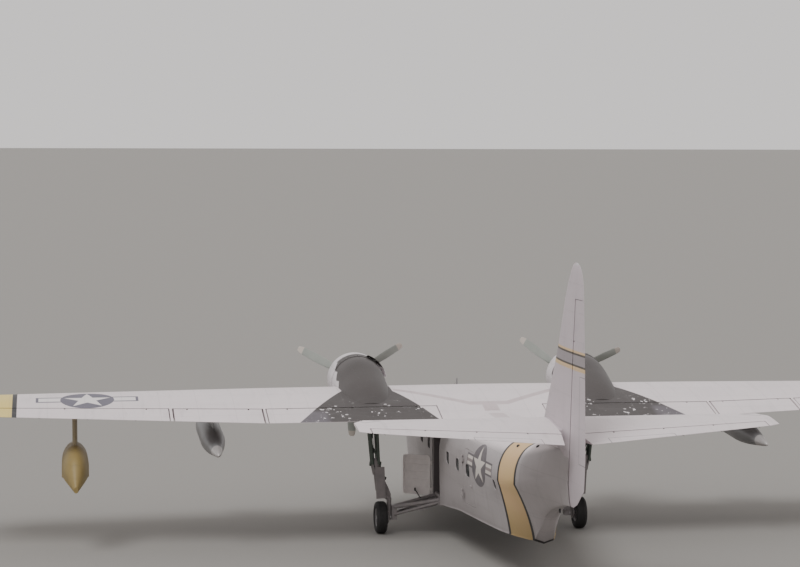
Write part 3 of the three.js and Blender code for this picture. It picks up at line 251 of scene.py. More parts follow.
class Graph:
    """A material's nodes, written as sums."""

    def __init__(self, name):
        self.material = bpy.data.materials.new(name)
        self.material.use_nodes = True
        self.tree = self.material.node_tree
        self.tree.nodes.clear()
        place, split, normal = [self.node(f"ShaderNode{kind}") for kind in ("TexCoord", "SeparateXYZ",
                                                                            "SeparateXYZ")]
        self.place = place.outputs["Object"]
        self.tree.links.new(self.place, split.inputs[0])
        self.tree.links.new(place.outputs["Normal"], normal.inputs[0])
        self.x, self.y, self.z = [Value(self, socket) for socket in split.outputs]
        self.up = Value(self, normal.outputs[2])
        self.side = abs(self.y)
        self.station = LENGTH / 2 - self.x

    def node(self, kind, **values):
        made = self.tree.nodes.new(kind)
        for key, value in values.items():
            setattr(made, key, value)
        return made

    def feed(self, node, *sources):
        """Gives a node's first inputs their sources, and returns its first output."""
        for source, target in zip(sources, node.inputs):
            self.link(source, target)
        return Value(self, node.outputs[0])

    def link(self, source, target):
        if isinstance(source, Value):
            self.tree.links.new(source.socket, target)
        else:
            target.default_value = source

    def math(self, operation, a, b=0.0):
        return self.feed(self.node("ShaderNodeMath", operation=operation), a, b)

    def step(self, value, low, high):
        """0 below low and 1 above high, smooth between; low may be above high."""
        made = self.node("ShaderNodeMapRange", interpolation_type="SMOOTHSTEP", clamp=True)
        return self.feed(made, value, low, high, 0.0, 1.0)

    def within(self, value, low, high, edge=0.003):
        return self.step(value, low - edge, low + edge) * self.step(value, high + edge, high - edge)

    def noise(self, scale, detail=3.0, roughness=0.55, stretch=(1, 1, 1)):
        scaled = self.node("ShaderNodeVectorMath", operation="MULTIPLY")
        self.tree.links.new(self.place, scaled.inputs[0])
        scaled.inputs[1].default_value = stretch
        made = self.node("ShaderNodeTexNoise")
        self.tree.links.new(scaled.outputs[0], made.inputs["Vector"])
        for key, value in (("Scale", scale), ("Detail", detail), ("Roughness", roughness)):
            made.inputs[key].default_value = value
        return Value(self, made.outputs[0])

    def lines(self, value, spacing, width):
        """1 near each multiple of the spacing."""
        return self.step(self.math("PINGPONG", value, spacing / 2), width, width * 0.4)

    def frame_of(self, a, a_low, a_high, b, b_low, b_high, width=0.006):
        """The outline of a rectangle."""
        outer, inner = [self.within(a, a_low - grow, a_high + grow) * self.within(b, b_low - grow,
                                                                                  b_high + grow)
                        for grow in (width, -width)]
        return outer - inner

    def insignia(self, up, across, radius, edge=0.004):
        """Masks of a plain star in a disc with side bars: dark field, bright field and the bars' middle."""
        def inside(value, limit):
            return self.step(value, limit + edge, limit - edge)

        def bar(low, high, length):
            tall = self.within(up, limit + low * radius, limit + high * radius, edge)
            return tall * inside(abs(across), length)
        far = self.math("SQRT", up * up + across * across)
        fold = self.math("PINGPONG", self.math("ARCTAN2", across, up), math.pi / 5)
        reach = far * self.math("COSINE", fold - 2 * math.pi / 5)
        limit, border = radius * math.cos(2 * math.pi / 5), radius * 0.11
        disc = inside(far, radius + border)
        bars = bar(-0.5, 0, 2 * radius) * (1 - disc)
        rim = bar(-0.61, 0.11, 2 * radius + border)
        middle = self.within(up, limit - radius * 0.33, limit - radius * 0.17, edge) * bars
        return disc | rim, (inside(reach, limit) * inside(far, radius)) | bars, middle

    def mix(self, share, a, b):
        made = self.node("ShaderNodeMix", data_type="RGBA")
        for source, place in ((share, 0), (self.colour(a), 6), (self.colour(b), 7)):
            self.link(source, made.inputs[place])
        return Value(self, made.outputs[2])

    @staticmethod
    def colour(value):
        return value if isinstance(value, Value) else (*value, 1.0)

    def finish(self, colour, roughness=0.5, metallic=0.0, height=None, depth=0.0015, **sockets):
        shader = self.node("ShaderNodeBsdfPrincipled")
        rows = {"Base Color": self.colour(colour), "Roughness": roughness, "Metallic": metallic, **sockets}
        for key, value in rows.items():
            self.link(value, shader.inputs[key.replace("_", " ")])
        if height is not None:
            bump = self.node("ShaderNodeBump")
            bump.inputs["Strength"].default_value = 1.0
            bump.inputs["Distance"].default_value = depth
            self.link(height, bump.inputs["Height"])
            self.tree.links.new(bump.outputs[0], shader.inputs["Normal"])
        self.tree.links.new(shader.outputs[0], self.node("ShaderNodeOutputMaterial").inputs[0])
        return self.material


def plain(name, colour, roughness=0.5, metallic=0.0, spread=0.12, scale=6.0):
    g = Graph(name)
    dark, light = [tuple(min(1, c * (1 + change)) for c in colour) for change in (-spread, spread)]
    return g.finish(g.mix(g.noise(scale), dark, light), roughness, metallic)


OFF_WHITE, OFF_WHITE_DARK = (0.73, 0.66, 0.67), (0.625, 0.565, 0.58)
GREY_PATCH, WALKWAY = (0.043, 0.037, 0.036), (0.44, 0.36, 0.37)
TIP_YELLOW, TIP_YELLOW_PALE = (0.64, 0.49, 0.125), (0.66, 0.54, 0.23)
BAND_BLACK, GROOVE = (0.03, 0.028, 0.028), (0.16, 0.15, 0.16)
ENGINE_Y, ENGINE_Z = 3.08, 3.81


def scaled(colour, factor):
    return tuple(c * factor for c in colour)


def weathered(g, light, dark, along=(0.35, 2.5, 1)):
    """A faded finish with soft stains and streaks along the airflow."""
    streak = g.step(g.noise(2.2, 4.0, 0.6, along), 0.52, 0.75)
    return g.mix(streak * 0.18, g.mix(g.noise(0.9, 5.0), dark, light), scaled(dark, 0.55))


def seams(g, first, first_step, second, second_step, pitch=0.05):
    """Panel seams and rivets in two directions: masks of both."""
    lines = g.lines(first, first_step, 0.004) | g.lines(second, second_step, 0.004)
    dots = g.lines(first + 0.025, first_step, 0.008) * g.lines(second, pitch, 0.008)
    return lines, dots | g.lines(second + 0.025, second_step, 0.008) * g.lines(first, pitch, 0.008)


def wing_paint():
    g = Graph("wing_paint")
    colour = weathered(g, OFF_WHITE, OFF_WHITE_DARK)
    top = g.step(g.up, -0.1, 0.1)
    # the dark patch behind each nacelle, with a faded corner and chips
    inner = 2.37 - ((g.station | 7.7) - 7.7) * 0.415
    outer = 3.72 + ((g.station | 7.6) - 7.6) * 0.59
    patch = g.step(g.side - inner, -0.01, 0.01) * g.step(outer - g.side, -0.01, 0.01) * top
    patch *= g.step(g.station, 6.2, 6.22) * g.step(g.station, 11.0, 10.9) * g.step(g.z, 3.86, 3.85)
    dark = g.mix(g.noise(1.7, 5.0), GREY_PATCH, scaled(GREY_PATCH, 1.45))
    faded = g.within(g.side, 4.3, 5.1, 0.1) * g.within(g.station, 9.2, 10.2, 0.1) * g.noise(1.3)
    dark = g.mix(faded, dark, (0.15, 0.135, 0.16))
    chips = g.step(g.noise(7.5, 2.0), 0.62, 0.66) * g.within(g.station, 8.6, 9.9, 0.35)
    dark = g.mix(chips * g.step(g.noise(1.1, 2.0), 0.45, 0.56), dark, (0.72, 0.68, 0.69))
    colour = g.mix(patch, colour, dark)
    # faded walkway lines on the centre
    away = abs(g.station - (8.86 - ((g.side - 0.5) | 0.0) * 0.72))
    middle = g.step(g.side, 0.22, 0.18) * g.step(g.station, 8.86, 8.9)
    walk = (g.step(away, 0.16, 0.08) * g.step(g.side, 2.35, 2.33) | middle) * top * (1 - patch)
    colour = g.mix(walk * (0.4 + g.noise(2.5) * 0.6), colour, WALKWAY)
    # the star on the left wing's top and under the right one
    shown = g.step(g.y, -0.01, 0.01) * top | g.step(g.y, 0.01, -0.01) * (1 - top)
    field, bright, _ = g.insignia(8.0 - g.station, g.side - 10.38, 0.62)
    colour = g.mix(field * shown, colour, g.mix(g.noise(3.0), (0.085, 0.08, 0.105), (0.16, 0.15, 0.19)))
    colour = g.mix(bright * shown, colour, (0.70, 0.66, 0.66))
    # tips
    colour = g.mix(g.step(g.side, 12.275, 12.285), colour, g.mix(g.noise(1.5), TIP_YELLOW, TIP_YELLOW_PALE))
    colour = g.mix(g.within(g.side, 12.16, 12.28, 0.005), colour, (0.03, 0.03, 0.032))
    lines, dots = seams(g, g.side, 0.95, g.station, 0.78)
    colour = g.mix((lines | dots * 0.6) * 0.35, colour, (0.2, 0.19, 0.19))
    return g.finish(colour, 0.42 + g.noise(3.0) * 0.2, height=dots - lines)


def tail_paint():
    g = Graph("tail_paint")
    fin = g.step(g.side, 0.19, 0.18)
    # painted shade: the fin and the tailplanes share one off-white paint; the upright fin takes a darker copy of
    # it, the level tailplanes keep the wing's off-white
    fin_shaded_white = weathered(g, (0.545, 0.485, 0.51), (0.45, 0.395, 0.42))
    colour = g.mix(fin, weathered(g, OFF_WHITE, OFF_WHITE_DARK), fin_shaded_white)
    colour = g.mix(g.within(g.z, 5.66, 5.92) * fin * 0.75, colour, (0.22, 0.20, 0.205))
    for low, high, edge in ((5.935, 5.99, 5.918), (5.555, 5.645, 5.662)):
        yellow = g.mix(g.noise(1.5), (0.60, 0.47, 0.24), (0.62, 0.42, 0.26))
        colour = g.mix(g.within(g.z, low, high) * fin, colour, yellow)
        colour = g.mix(g.within(g.z, edge - 0.022, edge + 0.022) * fin, colour, (0.07, 0.062, 0.05))
    tabs = g.frame_of(g.station, 18.72, 19.5, g.z, 3.55, 5.45, 0.008) * fin
    tabs |= g.frame_of(g.station, 18.22, 19.5, g.side, 0.75, 2.25, 0.008) * (1 - fin)
    lines, dots = seams(g, g.z, 0.62, g.station, 0.8)
    colour = g.mix((lines * 0.4 | tabs | dots * 0.25) * 0.8, colour, GROOVE)
    return g.finish(colour, 0.5, height=dots - (lines | tabs))


def hull_paint():
    g = Graph("hull_paint")
    colour = weathered(g, (0.44, 0.405, 0.41), (0.34, 0.315, 0.315), (0.3, 0.3, 2.0))
    colour = g.mix(g.step(g.up, 0.45, 0.75) * g.step(g.z, 2.9, 3.0), colour, OFF_WHITE)
    # painted shade from the wing: the hull's sides are darker from the bow to the cabin's rear, halfway up
    under_wing_shade = g.within(g.station, 3.0, 12.4, 1.2) * g.within(g.z, 1.5, 2.9, 0.5)
    colour = g.mix(under_wing_shade * 0.4, colour, (0.24, 0.215, 0.21))
    # painted shade, darker towards the bottom of the hull and broken up by noise
    colour = g.mix(g.step(g.z, 1.75, 0.85) * (0.25 + g.noise(1.4, 5.0) * 0.5), colour, (0.21, 0.19, 0.185))
    walk = g.within(g.side, -0.1, 0.2, 0.03) * g.within(g.station, 9.8, 10.65, 0.05) * g.step(g.z, 3.2, 3.25)
    colour = g.mix(walk * 0.5, colour, WALKWAY)
    lines, dots = seams(g, g.station, 0.92, g.z, 0.61)
    marks = g.frame_of(g.station, 12.0, 12.7, g.side, 0.0, 0.32)
    marks |= g.frame_of(g.station, 4.35, 4.95, g.side, 0.0, 0.3)
    hatch = marks * g.step(g.z, 3.15, 3.2)
    colour = g.mix(lines * 0.45 | dots * 0.25 | hatch * 0.9, colour, (0.15, 0.14, 0.14))
    streak = g.step(g.noise(3.0, 3.0, 0.6, (2.2, 1, 0.18)), 0.56, 0.72) * g.step(g.z, 2.9, 2.2)
    colour = g.mix(streak * 0.25, colour, (0.20, 0.175, 0.155))
    field, bright, middle = g.insignia(g.z - 2.56, g.station - 12.74, 0.465)
    high = g.step(g.z, 1.4, 1.5)
    colour = g.mix(field * high * (0.55 + g.noise(4.0) * 0.5), colour, (0.085, 0.075, 0.085))
    colour = g.mix(bright * high * 0.9, colour, (0.66, 0.61, 0.56))
    colour = g.mix(middle * high * 0.8, colour, (0.17, 0.13, 0.14))
    # the yellow band with its dark edges
    yellow = g.mix(g.noise(1.2, 4.0), (0.62, 0.46, 0.20), (0.66, 0.43, 0.26))
    # painted shade: the band darkens where it runs low on the hull
    yellow = g.mix(g.step(g.z, 2.2, 1.2) * 0.85, yellow, (0.32, 0.23, 0.10))
    colour = g.mix(g.within(g.station, 14.2, 15.35, 0.004), colour, yellow)
    for station in (14.2, 15.35):
        colour = g.mix(g.within(g.station, station - 0.055, station + 0.055, 0.004), colour, BAND_BLACK)
    # painted shade: the main wheel wells' walls are painted near black
    well = g.within(g.station, 7.645, 8.705, 0.004) * g.step(g.side, 1.235, 1.225) * g.step(g.side, 0.7, 0.71)
    colour = g.mix(well * 0.85, colour, (0.09, 0.075, 0.08))
    return g.finish(colour, 0.38 + g.noise(3.5) * 0.2, 0.15, dots - (lines | hatch), 0.0018)


def nacelle_paint(name, cowl):
    """Dark grey above a zigzag line that falls aft, off-white below it and on the cowl's front ring."""
    g = Graph(name)
    line = 4.36 - (g.station - 5.6) * 0.36 + g.math("PINGPONG", g.station, 0.26) * 0.42
    dark = g.step(g.z - line, -0.008, 0.008)
    if cowl:
        dark *= g.step(g.station, 5.82, 5.83)
    soot = g.step(g.noise(1.8, 4.0, 0.6, (0.25, 1.5, 1.5)), 0.45, 0.7) * g.step(g.station, 6.2, 7.6)
    pale = g.mix(soot * 0.65, weathered(g, (0.64, 0.60, 0.615), (0.50, 0.465, 0.475)), (0.10, 0.09, 0.085))
    colour = g.mix(dark, pale, g.mix(g.noise(1.4, 5.0), GREY_PATCH, scaled(GREY_PATCH, 1.5)))
    lines, dots = seams(g, g.station, 0.45, g.math("ARCTAN2", g.side - ENGINE_Y, g.z - ENGINE_Z), 0.52, 0.06)
    colour = g.mix((lines | dots * 0.5) * 0.45, colour, (0.05, 0.05, 0.05))
    return g.finish(colour, 0.46, height=dots - lines)


def float_paint():
    g = Graph("float_paint")
    colour = weathered(g, (0.275, 0.205, 0.076), (0.215, 0.15, 0.05))
    colour = g.mix(g.step(g.noise(5.0, 4.0), 0.62, 0.7) * 0.5, colour, (0.22, 0.17, 0.11))
    lines, dots = seams(g, g.station, 0.5, g.z, 0.28, 0.04)
    colour = g.mix((lines | dots * 0.5) * 0.4, colour, (0.12, 0.09, 0.05))
    return g.finish(colour, 0.55, height=dots - lines)


def tank_paint():
    g = Graph("tank_metal")
    tone = g.mix(g.noise(1.2, 5.0), (0.20, 0.20, 0.203), (0.29, 0.29, 0.295))
    tone = g.mix(g.step(g.station, 9.55, 9.6), tone, (0.52, 0.50, 0.49))
    lines, dots = seams(g, g.station, 0.85, g.z, 3.0)
    return g.finish(g.mix(lines * 0.6, tone, (0.05, 0.05, 0.05)), 0.4, 0.45, dots - lines)


def blade_paint():
    g = Graph("propeller_paint")
    across, tall = g.side - ENGINE_Y, g.z - ENGINE_Z
    far = g.math("SQRT", across * across + tall * tall)
    tone = g.mix(g.noise(2.2, 5.0), (0.26, 0.28, 0.255), (0.36, 0.375, 0.345))
    tone = g.mix(g.step(far, 1.52, 1.53), tone, (0.52, 0.47, 0.42))
    tone = g.mix(g.step(far, 0.2, 0.19), tone, (0.2, 0.2, 0.205))
    return g.finish(tone, 0.42, 0.2)


def glazing():
    g = Graph("window_glass")
    colour = g.mix(g.noise(0.8), (0.05, 0.065, 0.07), (0.08, 0.10, 0.10))
    return g.finish(colour, 0.07, Transmission_Weight=0.75, IOR=1.3)


wing_white, tail_white, hull_grey = wing_paint(), tail_paint(), hull_paint()
nacelle_grey, cowl_white = nacelle_paint("nacelle_paint", False), nacelle_paint("cowl_paint", True)
float_ochre, tank_silver, blade_grey, glass = float_paint(), tank_paint(), blade_paint(), glazing()
black_gloss = plain("radome_black", (0.012, 0.012, 0.014), 0.3)
rubber = plain("tyre_rubber", (0.022, 0.021, 0.021), 0.85, spread=0.3)
gear_green = plain("gear_paint", (0.065, 0.085, 0.068), spread=0.25)
gear_light = plain("gear_light", (0.215, 0.195, 0.195), spread=0.25)
engine_metal = plain("engine_metal", (0.10, 0.10, 0.105), 0.45, 0.6, 0.3)
dark_metal = plain("dark_metal", (0.03, 0.03, 0.032), 0.5, 0.5, 0.3)
bright_metal = plain("bright_metal", (0.55, 0.55, 0.56), 0.28, 0.9)
panel_black = plain("panel_black", (0.02, 0.02, 0.022), 0.6)
seat_cloth = plain("seat_cloth", (0.07, 0.085, 0.06), 0.9, spread=0.3, scale=30)
# painted light: the wheel doors are painted far paler than the hull's grey, standing in for light on their shaded
# faces
door_pale_painted_light = plain("door_pale_painted_light", (0.72, 0.67, 0.655))
frame_grey = plain("frame_grey", (0.20, 0.19, 0.195))
primer = plain("primer_green", (0.14, 0.17, 0.09), 0.6, spread=0.25)
board = plain("floor_board", (0.13, 0.125, 0.115), 0.8, spread=0.3)
dial_white = plain("dial_white", (0.6, 0.6, 0.58))
red_glass = plain("red_glass", (0.45, 0.02, 0.015), 0.15)
green_glass = plain("green_glass", (0.02, 0.30, 0.06), 0.15)
clear_glass = plain("clear_glass", (0.55, 0.57, 0.58), 0.1)
studio_grey = plain("studio_floor", (0.25, 0.24, 0.225), 0.9, spread=0.02)

# Hull lines
# columns: station, keel z, chine y, chine z, waist y, waist z, side y, side z, roof z
HULL = Table([
    (560, 2080, 90, 2150, 200, 2250, 290, 2430, 2720),
    (800, 1800, 240, 1980, 400, 2150, 480, 2400, 2780),
    (1300, 1400, 560, 1720, 700, 1980, 770, 2340, 2840),
    (1950, 1090, 870, 1500, 970, 1820, 1030, 2280, 2880),
    (2150, 1030, 940, 1450, 1030, 1780, 1080, 2280, 2890),
    (2900, 880, 1130, 1290, 1180, 1660, 1215, 2280, 3250),
    (3750, 780, 1220, 1150, 1250, 1580, 1275, 2280, 3330),
    (6100, 690, 1250, 930, 1270, 1500, 1290, 2250, 3420),
    (8750, 660, 1250, 850, 1265, 1500, 1280, 2250, 3450),
    (8780, 790, 1248, 900, 1264, 1500, 1280, 2250, 3450),
    (9900, 850, 1190, 1020, 1230, 1560, 1255, 2280, 3430),
    (11100, 910, 1080, 1120, 1160, 1620, 1195, 2340, 3430),
    (12350, 975, 895, 1130, 1020, 1690, 1090, 2400, 3440),
    (13400, 1030, 710, 1130, 830, 1750, 960, 2430, 3450),
    (14200, 1070, 545, 1150, 680, 1800, 870, 2450, 3470),
    (15350, 1130, 230, 1210, 400, 1850, 720, 2540, 3520),
    (16250, 2000, 100, 2040, 240, 2130, 540, 2700, 3640),
    (17000, 2270, 80, 2300, 160, 2400, 330, 2850, 3740),
    (17640, 2440, 60, 2460, 90, 2560, 135, 2950, 3790),
    (18000, 2490, 45, 2505, 72, 2600, 108, 2980, 3810),
], breaks=(2.15, 8.75, 8.78, 15.35))
ROOF_POWER, HULL_SKIN, TAIL_SKIN, SEAM = 2 / 2.35, 0.06, 0.045, 0.0006
BOW_END, COCKPIT_END, CABIN_END, TAIL_ROOM_END, HULL_END = 1.95, 3.75, 13.4, 17.0, 18.0
FLOOR_Z, ROOF_SPLIT_Z = 1.3, 3.0


def hull_ring(station, inset=0.0):
    keel_z, chine_y, chine_z, waist_y, waist_z, side_y, side_z, roof_z = HULL(station)
    keel_z, chine_z, roof_z = keel_z + inset, chine_z + inset, roof_z - inset
    chine_y, waist_y = max(chine_y - inset, 0.012), max(waist_y - inset, 0.015)
    side_y = max(side_y - inset, 0.02)
    half = [(chine_y * t, keel_z + (chine_z - keel_z) * t) for t in np.linspace(0, 1, 6)[1:]]
    middle_y, middle_z = 2 * waist_y - (chine_y + side_y) / 2, 2 * waist_z - (chine_z + side_z) / 2
    for t in np.linspace(0, 1, 9)[1:]:
        half.append([(1 - t) ** 2 * a + 2 * t * (1 - t) * b + t * t * c
                     for a, b, c in ((chine_y, middle_y, side_y), (chine_z, middle_z, side_z))])
    half += [(side_y * math.cos(a) ** ROOF_POWER, side_z + (roof_z - side_z) * math.sin(a) ** ROOF_POWER)
             for a in np.linspace(0, math.pi / 2, 17)[1:-1]]
    ring = [(0, keel_z), *half, (0, roof_z), *[(-y, z) for y, z in reversed(half)]]
    return [(station, y, z) for y, z in ring]


def hull_solid(low, high, inset=0.0, spacing=0.2):
    keys, stations = sorted({low, high, *[k for k in HULL.keys if low < k < high]}), []
    for a, b in zip(keys[:-1], keys[1:]):
        stations += list(np.linspace(a, b, max(int((b - a) / spacing), 1) + 1)[:-1])
    return Shape().loft([hull_ring(s, inset) for s in [*stations, high]])


# Lifting surfaces
CAMBER, CAMBER_AT = 0.02, 0.3
EDGE_HALF, AIRFOIL_STEPS = 0.004, 26
COVE_GAP, COVE_REACH, LIP_DROP = 0.014, 0.4, 0.04
HINGE_EYE, HINGE_BORE, HINGE_PIN, HINGE_PLATE, HINGE_SLOT = 0.034, 0.0135, 0.0125, 0.022, 0.036


def half_thickness(share):
    return 5 * (0.2969 * math.sqrt(share) - 0.126 * share - 0.3516 * share ** 2
                + 0.2843 * share ** 3 - 0.1015 * share ** 4)


class Section:
    """A wing or tail section: leading edge, directions aft and up, chord, thickness and camber."""

    def __init__(self, edge, aft, up, chord, thickness, camber=0.0):
        self.edge, self.aft, self.up = Vector(edge), Vector(aft), Vector(up)
        self.chord, self.thickness, self.camber = chord, thickness, camber

    def point(self, along, height=0.0):
        return self.edge + self.aft * along + self.up * height

    def middle(self, share):
        """The height of the camber line."""
        if share < CAMBER_AT:
            rise = (2 * CAMBER_AT * share - share ** 2) / CAMBER_AT ** 2
        else:
            rise = (1 - 2 * CAMBER_AT + 2 * CAMBER_AT * share - share ** 2) / (1 - CAMBER_AT) ** 2
        return rise * self.camber * self.chord

    def ring(self):
        ring = []
        for i in range(-AIRFOIL_STEPS, AIRFOIL_STEPS + 1):
            share = (1 - math.cos(math.pi * i / AIRFOIL_STEPS)) / 2
            half = max(half_thickness(share) * self.thickness, EDGE_HALF if share > 0.5 else 0)
            ring.append(self.point(self.chord * share, self.middle(share) + (half if i < 0 else -half)))
        return ring

    def mixed(self, other, t):
        pairs = [(getattr(self, key), getattr(other, key))
                 for key in ("edge", "aft", "up", "chord", "thickness", "camber")]
        return Section(*[a + (b - a) * t for a, b in pairs])


class Trailing:
    """A surface on a straight hinge line, given as (section, hinge share) rows from root to tip."""

    def __init__(self, rows, hinges, gap, lip=0.0):
        self.rows, self.gap, self.lip = rows, gap, lip
        (start, first), (end, last) = [
            (section.point(hinge * section.chord, section.middle(hinge)),
             half_thickness(hinge) * section.thickness)
            for section, hinge in (rows[0], rows[-1])]
        axis, aft = (end - start).normalized(), rows[0][0].aft
        aft = (aft - axis * axis.dot(aft)).normalized()
        self.axes = aft, axis, axis.cross(aft)
        self.hinges = [(start.lerp(end, t), first + (last - first) * t) for t in hinges]

    def ring(self, section, hinge, room=False):
        """The outline of the surface with its round nose, or of the room that it needs."""
        along, height = hinge * section.chord, section.middle(hinge)
        radius = half_thickness(hinge) * section.thickness + (COVE_GAP if room else 0)
        lip, reach = (self.lip, COVE_REACH) if room else (0, 0)
        end = math.pi / 2 + math.pi * (1 - lip)
        ring = [section.point(along + radius * math.cos(a), height + radius * math.sin(a))
                for a in np.linspace(math.pi / 2, end, 17)]
        half, middle = (radius, height) if room else (EDGE_HALF, 0)
        low = middle - half - (LIP_DROP if lip else 0)
        if lip:
            ring.append(section.point(along + radius * math.cos(end), low))
        return ring + [section.point(section.chord + reach, height) for height in (low, middle + half)]

    def room(self, side=1):
        rows = list(self.rows)
        for end, other in ((0, 1), (-1, -2)):
            (a, ha), (b, hb) = self.rows[end], self.rows[other]
            amount = -self.gap / (a.edge - b.edge).length
            rows[end] = (a.mixed(b, amount), ha + (hb - ha) * amount)
        return Shape(side).loft([self.ring(*row, room=True) for row in rows])

    def parts(self, kind, tag, brackets, material, *cuts):
        """The slotted surface and its pins, and fixed eyes for the pins, which join the brackets."""
        solid, pins = Shape(brackets.side).loft([self.ring(*row) for row in self.rows]), Shape(brackets.side)
        slots, half = [], HINGE_PLATE / 2
        for centre, nose in self.hinges:
            slots.append(Shape(brackets.side).slab(centre, self.axes, (-nose - 0.02, -HINGE_SLOT / 2,
                                                                       -nose - 0.03),
                                                   (1.6 * HINGE_EYE, HINGE_SLOT / 2, nose + 0.03)))
            pins.pipe([centre + self.axes[1] * HINGE_SLOT * end for end in (-1, 1)], HINGE_PIN)
            brackets.slab(centre, self.axes, (-nose - COVE_GAP - 0.05, -half, -0.028), (-0.02, half, 0.028))
            brackets.turned([(HINGE_BORE, -half), (HINGE_EYE, -half), (HINGE_EYE, half), (HINGE_BORE, half)],
                            centre, self.axes[1], 28)
        part(combine(solid, *slots, *cuts), f"{kind}_skin{tag}", kind + tag, material, kind + tag)
        part(pins, f"{kind}_pins{tag}", kind + tag, bright_metal)


# Wing
# columns: y, trailing-edge station, trailing-edge z, chord, greatest thickness
WING = [(0, 9900, 3280, 3800, 640), (5900, 9900, 3280, 3800, 580), (14730, 8900, 3510, 2020, 250)]
HALF_SPAN, WING_JOINT, WING_TIP_START, TIP_KEPT = 14.73, 5.9, 14.05, 0.38
WING_INCIDENCE, TAIL_INCIDENCE, WING_HINGE = math.radians(3), math.radians(3.5), 0.765
FLAP_LIP = 0.12


def tilted(angle):
    """Directions aft and up for a section that is tilted nose up."""
    return (math.cos(angle), 0, -math.sin(angle)), (math.sin(angle), 0, math.cos(angle))


def wing_section(y):
    """The rounded tip keeps a share of the chord and the thickness."""
    edge_s, edge_z, full_chord, full_thickness = straight(WING, abs(y))
    t = min(max((abs(y) - WING_TIP_START) / (HALF_SPAN - WING_TIP_START), 0), 1)
    kept = TIP_KEPT + (1 - TIP_KEPT) * math.sqrt(1 - t * t)
    aft, up = tilted(WING_INCIDENCE)
    edge = Vector((edge_s, y, edge_z)) - Vector(aft) * full_chord * (1 + kept) / 2
    return Section(edge, aft, up, full_chord * kept, full_thickness * kept, CAMBER)


moving_wing = {kind: Trailing([(wing_section(y), WING_HINGE) for y in ends], hinges, gap, lip)
               for kind, ends, hinges, gap, lip in (
                   ("flap_inner", (1.42, 5.845), (0.12, 0.5, 0.88), 0.03, FLAP_LIP),
                   ("flap_outer", (5.975, 8.21), (0.15, 0.85), 0.045, FLAP_LIP),
                   ("aileron", (8.35, 13.9), (0.1, 0.47, 0.85), 0.03, 0.0))}


def build_wing():
    inner, *others = moving_wing.values()
    centre = Shape().loft([wing_section(y).ring() for y in (-WING_JOINT + SEAM, 0, WING_JOINT - SEAM)])
    part(combine(centre, inner.room(1), inner.room(-1)), "wing_centre_skin", "root", wing_white,
         "wing_centre")
    tips = WING_TIP_START + (HALF_SPAN - WING_TIP_START) * np.sin(np.linspace(0, math.pi / 2, 9))
    for name, side in SIDES:
        outer = Shape(side).loft([wing_section(y).ring() for y in (WING_JOINT + SEAM, *tips)])
        combined = combine(outer, *[surface.room(side) for surface in others])
        part(combined, f"wing_outer_skin_{name}", "root", wing_white, f"wing_outer_{name}")
        brackets = Shape(side)
        for kind, surface in moving_wing.items():
            surface.parts(kind, f"_{name}", brackets, wing_white)
        part(brackets, f"wing_hinges_{name}", "root", frame_grey)


# Fin and rudder
# columns: z, leading-edge station, trailing-edge station, greatest thickness
FIN = [
    (2500, 15300, 18180, 290), (2620, 15300, 18500, 290), (3000, 15300, 19060, 290),
    (3300, 14700, 19130, 290),
    (3700, 15080, 19150, 290), (4090, 15400, 19130, 280), (5900, 16700, 19010, 220),
    (7100, 17330, 18880, 155),
    (7450, 17570, 18830, 125), (7700, 17790, 18680, 90), (7830, 17950, 18500, 55), (7880, 18080, 18300, 30),
]
FIN_HEIGHTS = (3.3, 3.5, 3.7, 3.9, 4.09, 5.0, 5.9, 6.5, 7.1, 7.45, 7.6, 7.7, 7.78, 7.83, 7.86, HEIGHT)
RUDDER_HEIGHTS, RUDDER_HINGE = (2.5, 2.62, 3.0, 3.7, 4.09, 5.9, 7.1), (18.0, 18.36)
# columns: y, leading-edge station, trailing-edge station, greatest thickness
TAIL = [(0, 15750, 18620, 300), (4500, 16900, 18140, 125), (4725, 17120, 18020, 65)]
TAIL_YS, TAIL_Z, TAIL_RISE = (0.04, 4.5, 4.6, 4.66, 4.7, 4.725), 3.93, math.tan(math.radians(3.8))
ELEVATOR_HINGE, ELEVATOR_ROOT, ELEVATOR_TIP = 17.83, 0.215, 4.44


def fin_section(z):
    leading, trailing, thickness = straight(FIN, z)
    return Section((leading, 0, z), AFT, OUT, trailing - leading, thickness)


def tail_section(y):
    leading, trailing, thickness = straight(TAIL, y)
    chord = trailing - leading
    edge_z = TAIL_Z + y * TAIL_RISE + chord * math.sin(TAIL_INCIDENCE)
    return Section((leading, y, edge_z), *tilted(TAIL_INCIDENCE), chord, thickness)


def hinged(section, station):
    return section, (station - section.edge[0]) / section.chord


RUDDER_ENDS = RUDDER_HEIGHTS[0], RUDDER_HEIGHTS[-1]
rudder = Trailing([hinged(fin_section(z), np.interp(z, RUDDER_ENDS, RUDDER_HINGE)) for z in RUDDER_HEIGHTS],
                  (0.09, 0.45, 0.8), 0.015)
elevator = Trailing([hinged(tail_section(y), ELEVATOR_HINGE) for y in (ELEVATOR_ROOT, ELEVATOR_TIP)],
                    (0.18, 0.45, 0.72), 0.03)


def elevator_root_cut(side, clearance):
    root = ELEVATOR_ROOT + clearance
    outline = [(17.5, -0.6), (19.2, -0.6), (19.2, 0.4 + clearance), (17.9, root), (17.5, root)]
    return Shape(side).slices(outline, (3.0, 5.2))


def build_tail():
    brackets = Shape()
    rudder.parts("rudder", "", brackets, tail_white)
    fin = combine(Shape().loft([fin_section(z).ring() for z in FIN_HEIGHTS]), rudder.room())
    part(fin, "fin_skin", "root", tail_white, "fin")
    for name, side in each_side(brackets):
        plane = Shape(side).loft([tail_section(y).ring() for y in TAIL_YS])
        combined = combine(plane, elevator.room(side), rudder.room(), elevator_root_cut(side, -0.025))
        part(combined, f"tailplane_skin_{name}", "root", tail_white, f"tailplane_{name}")
        elevator.parts("elevator", f"_{name}", brackets, tail_white, elevator_root_cut(side, 0.0))
    part(brackets, "tail_hinges", "root", frame_grey)


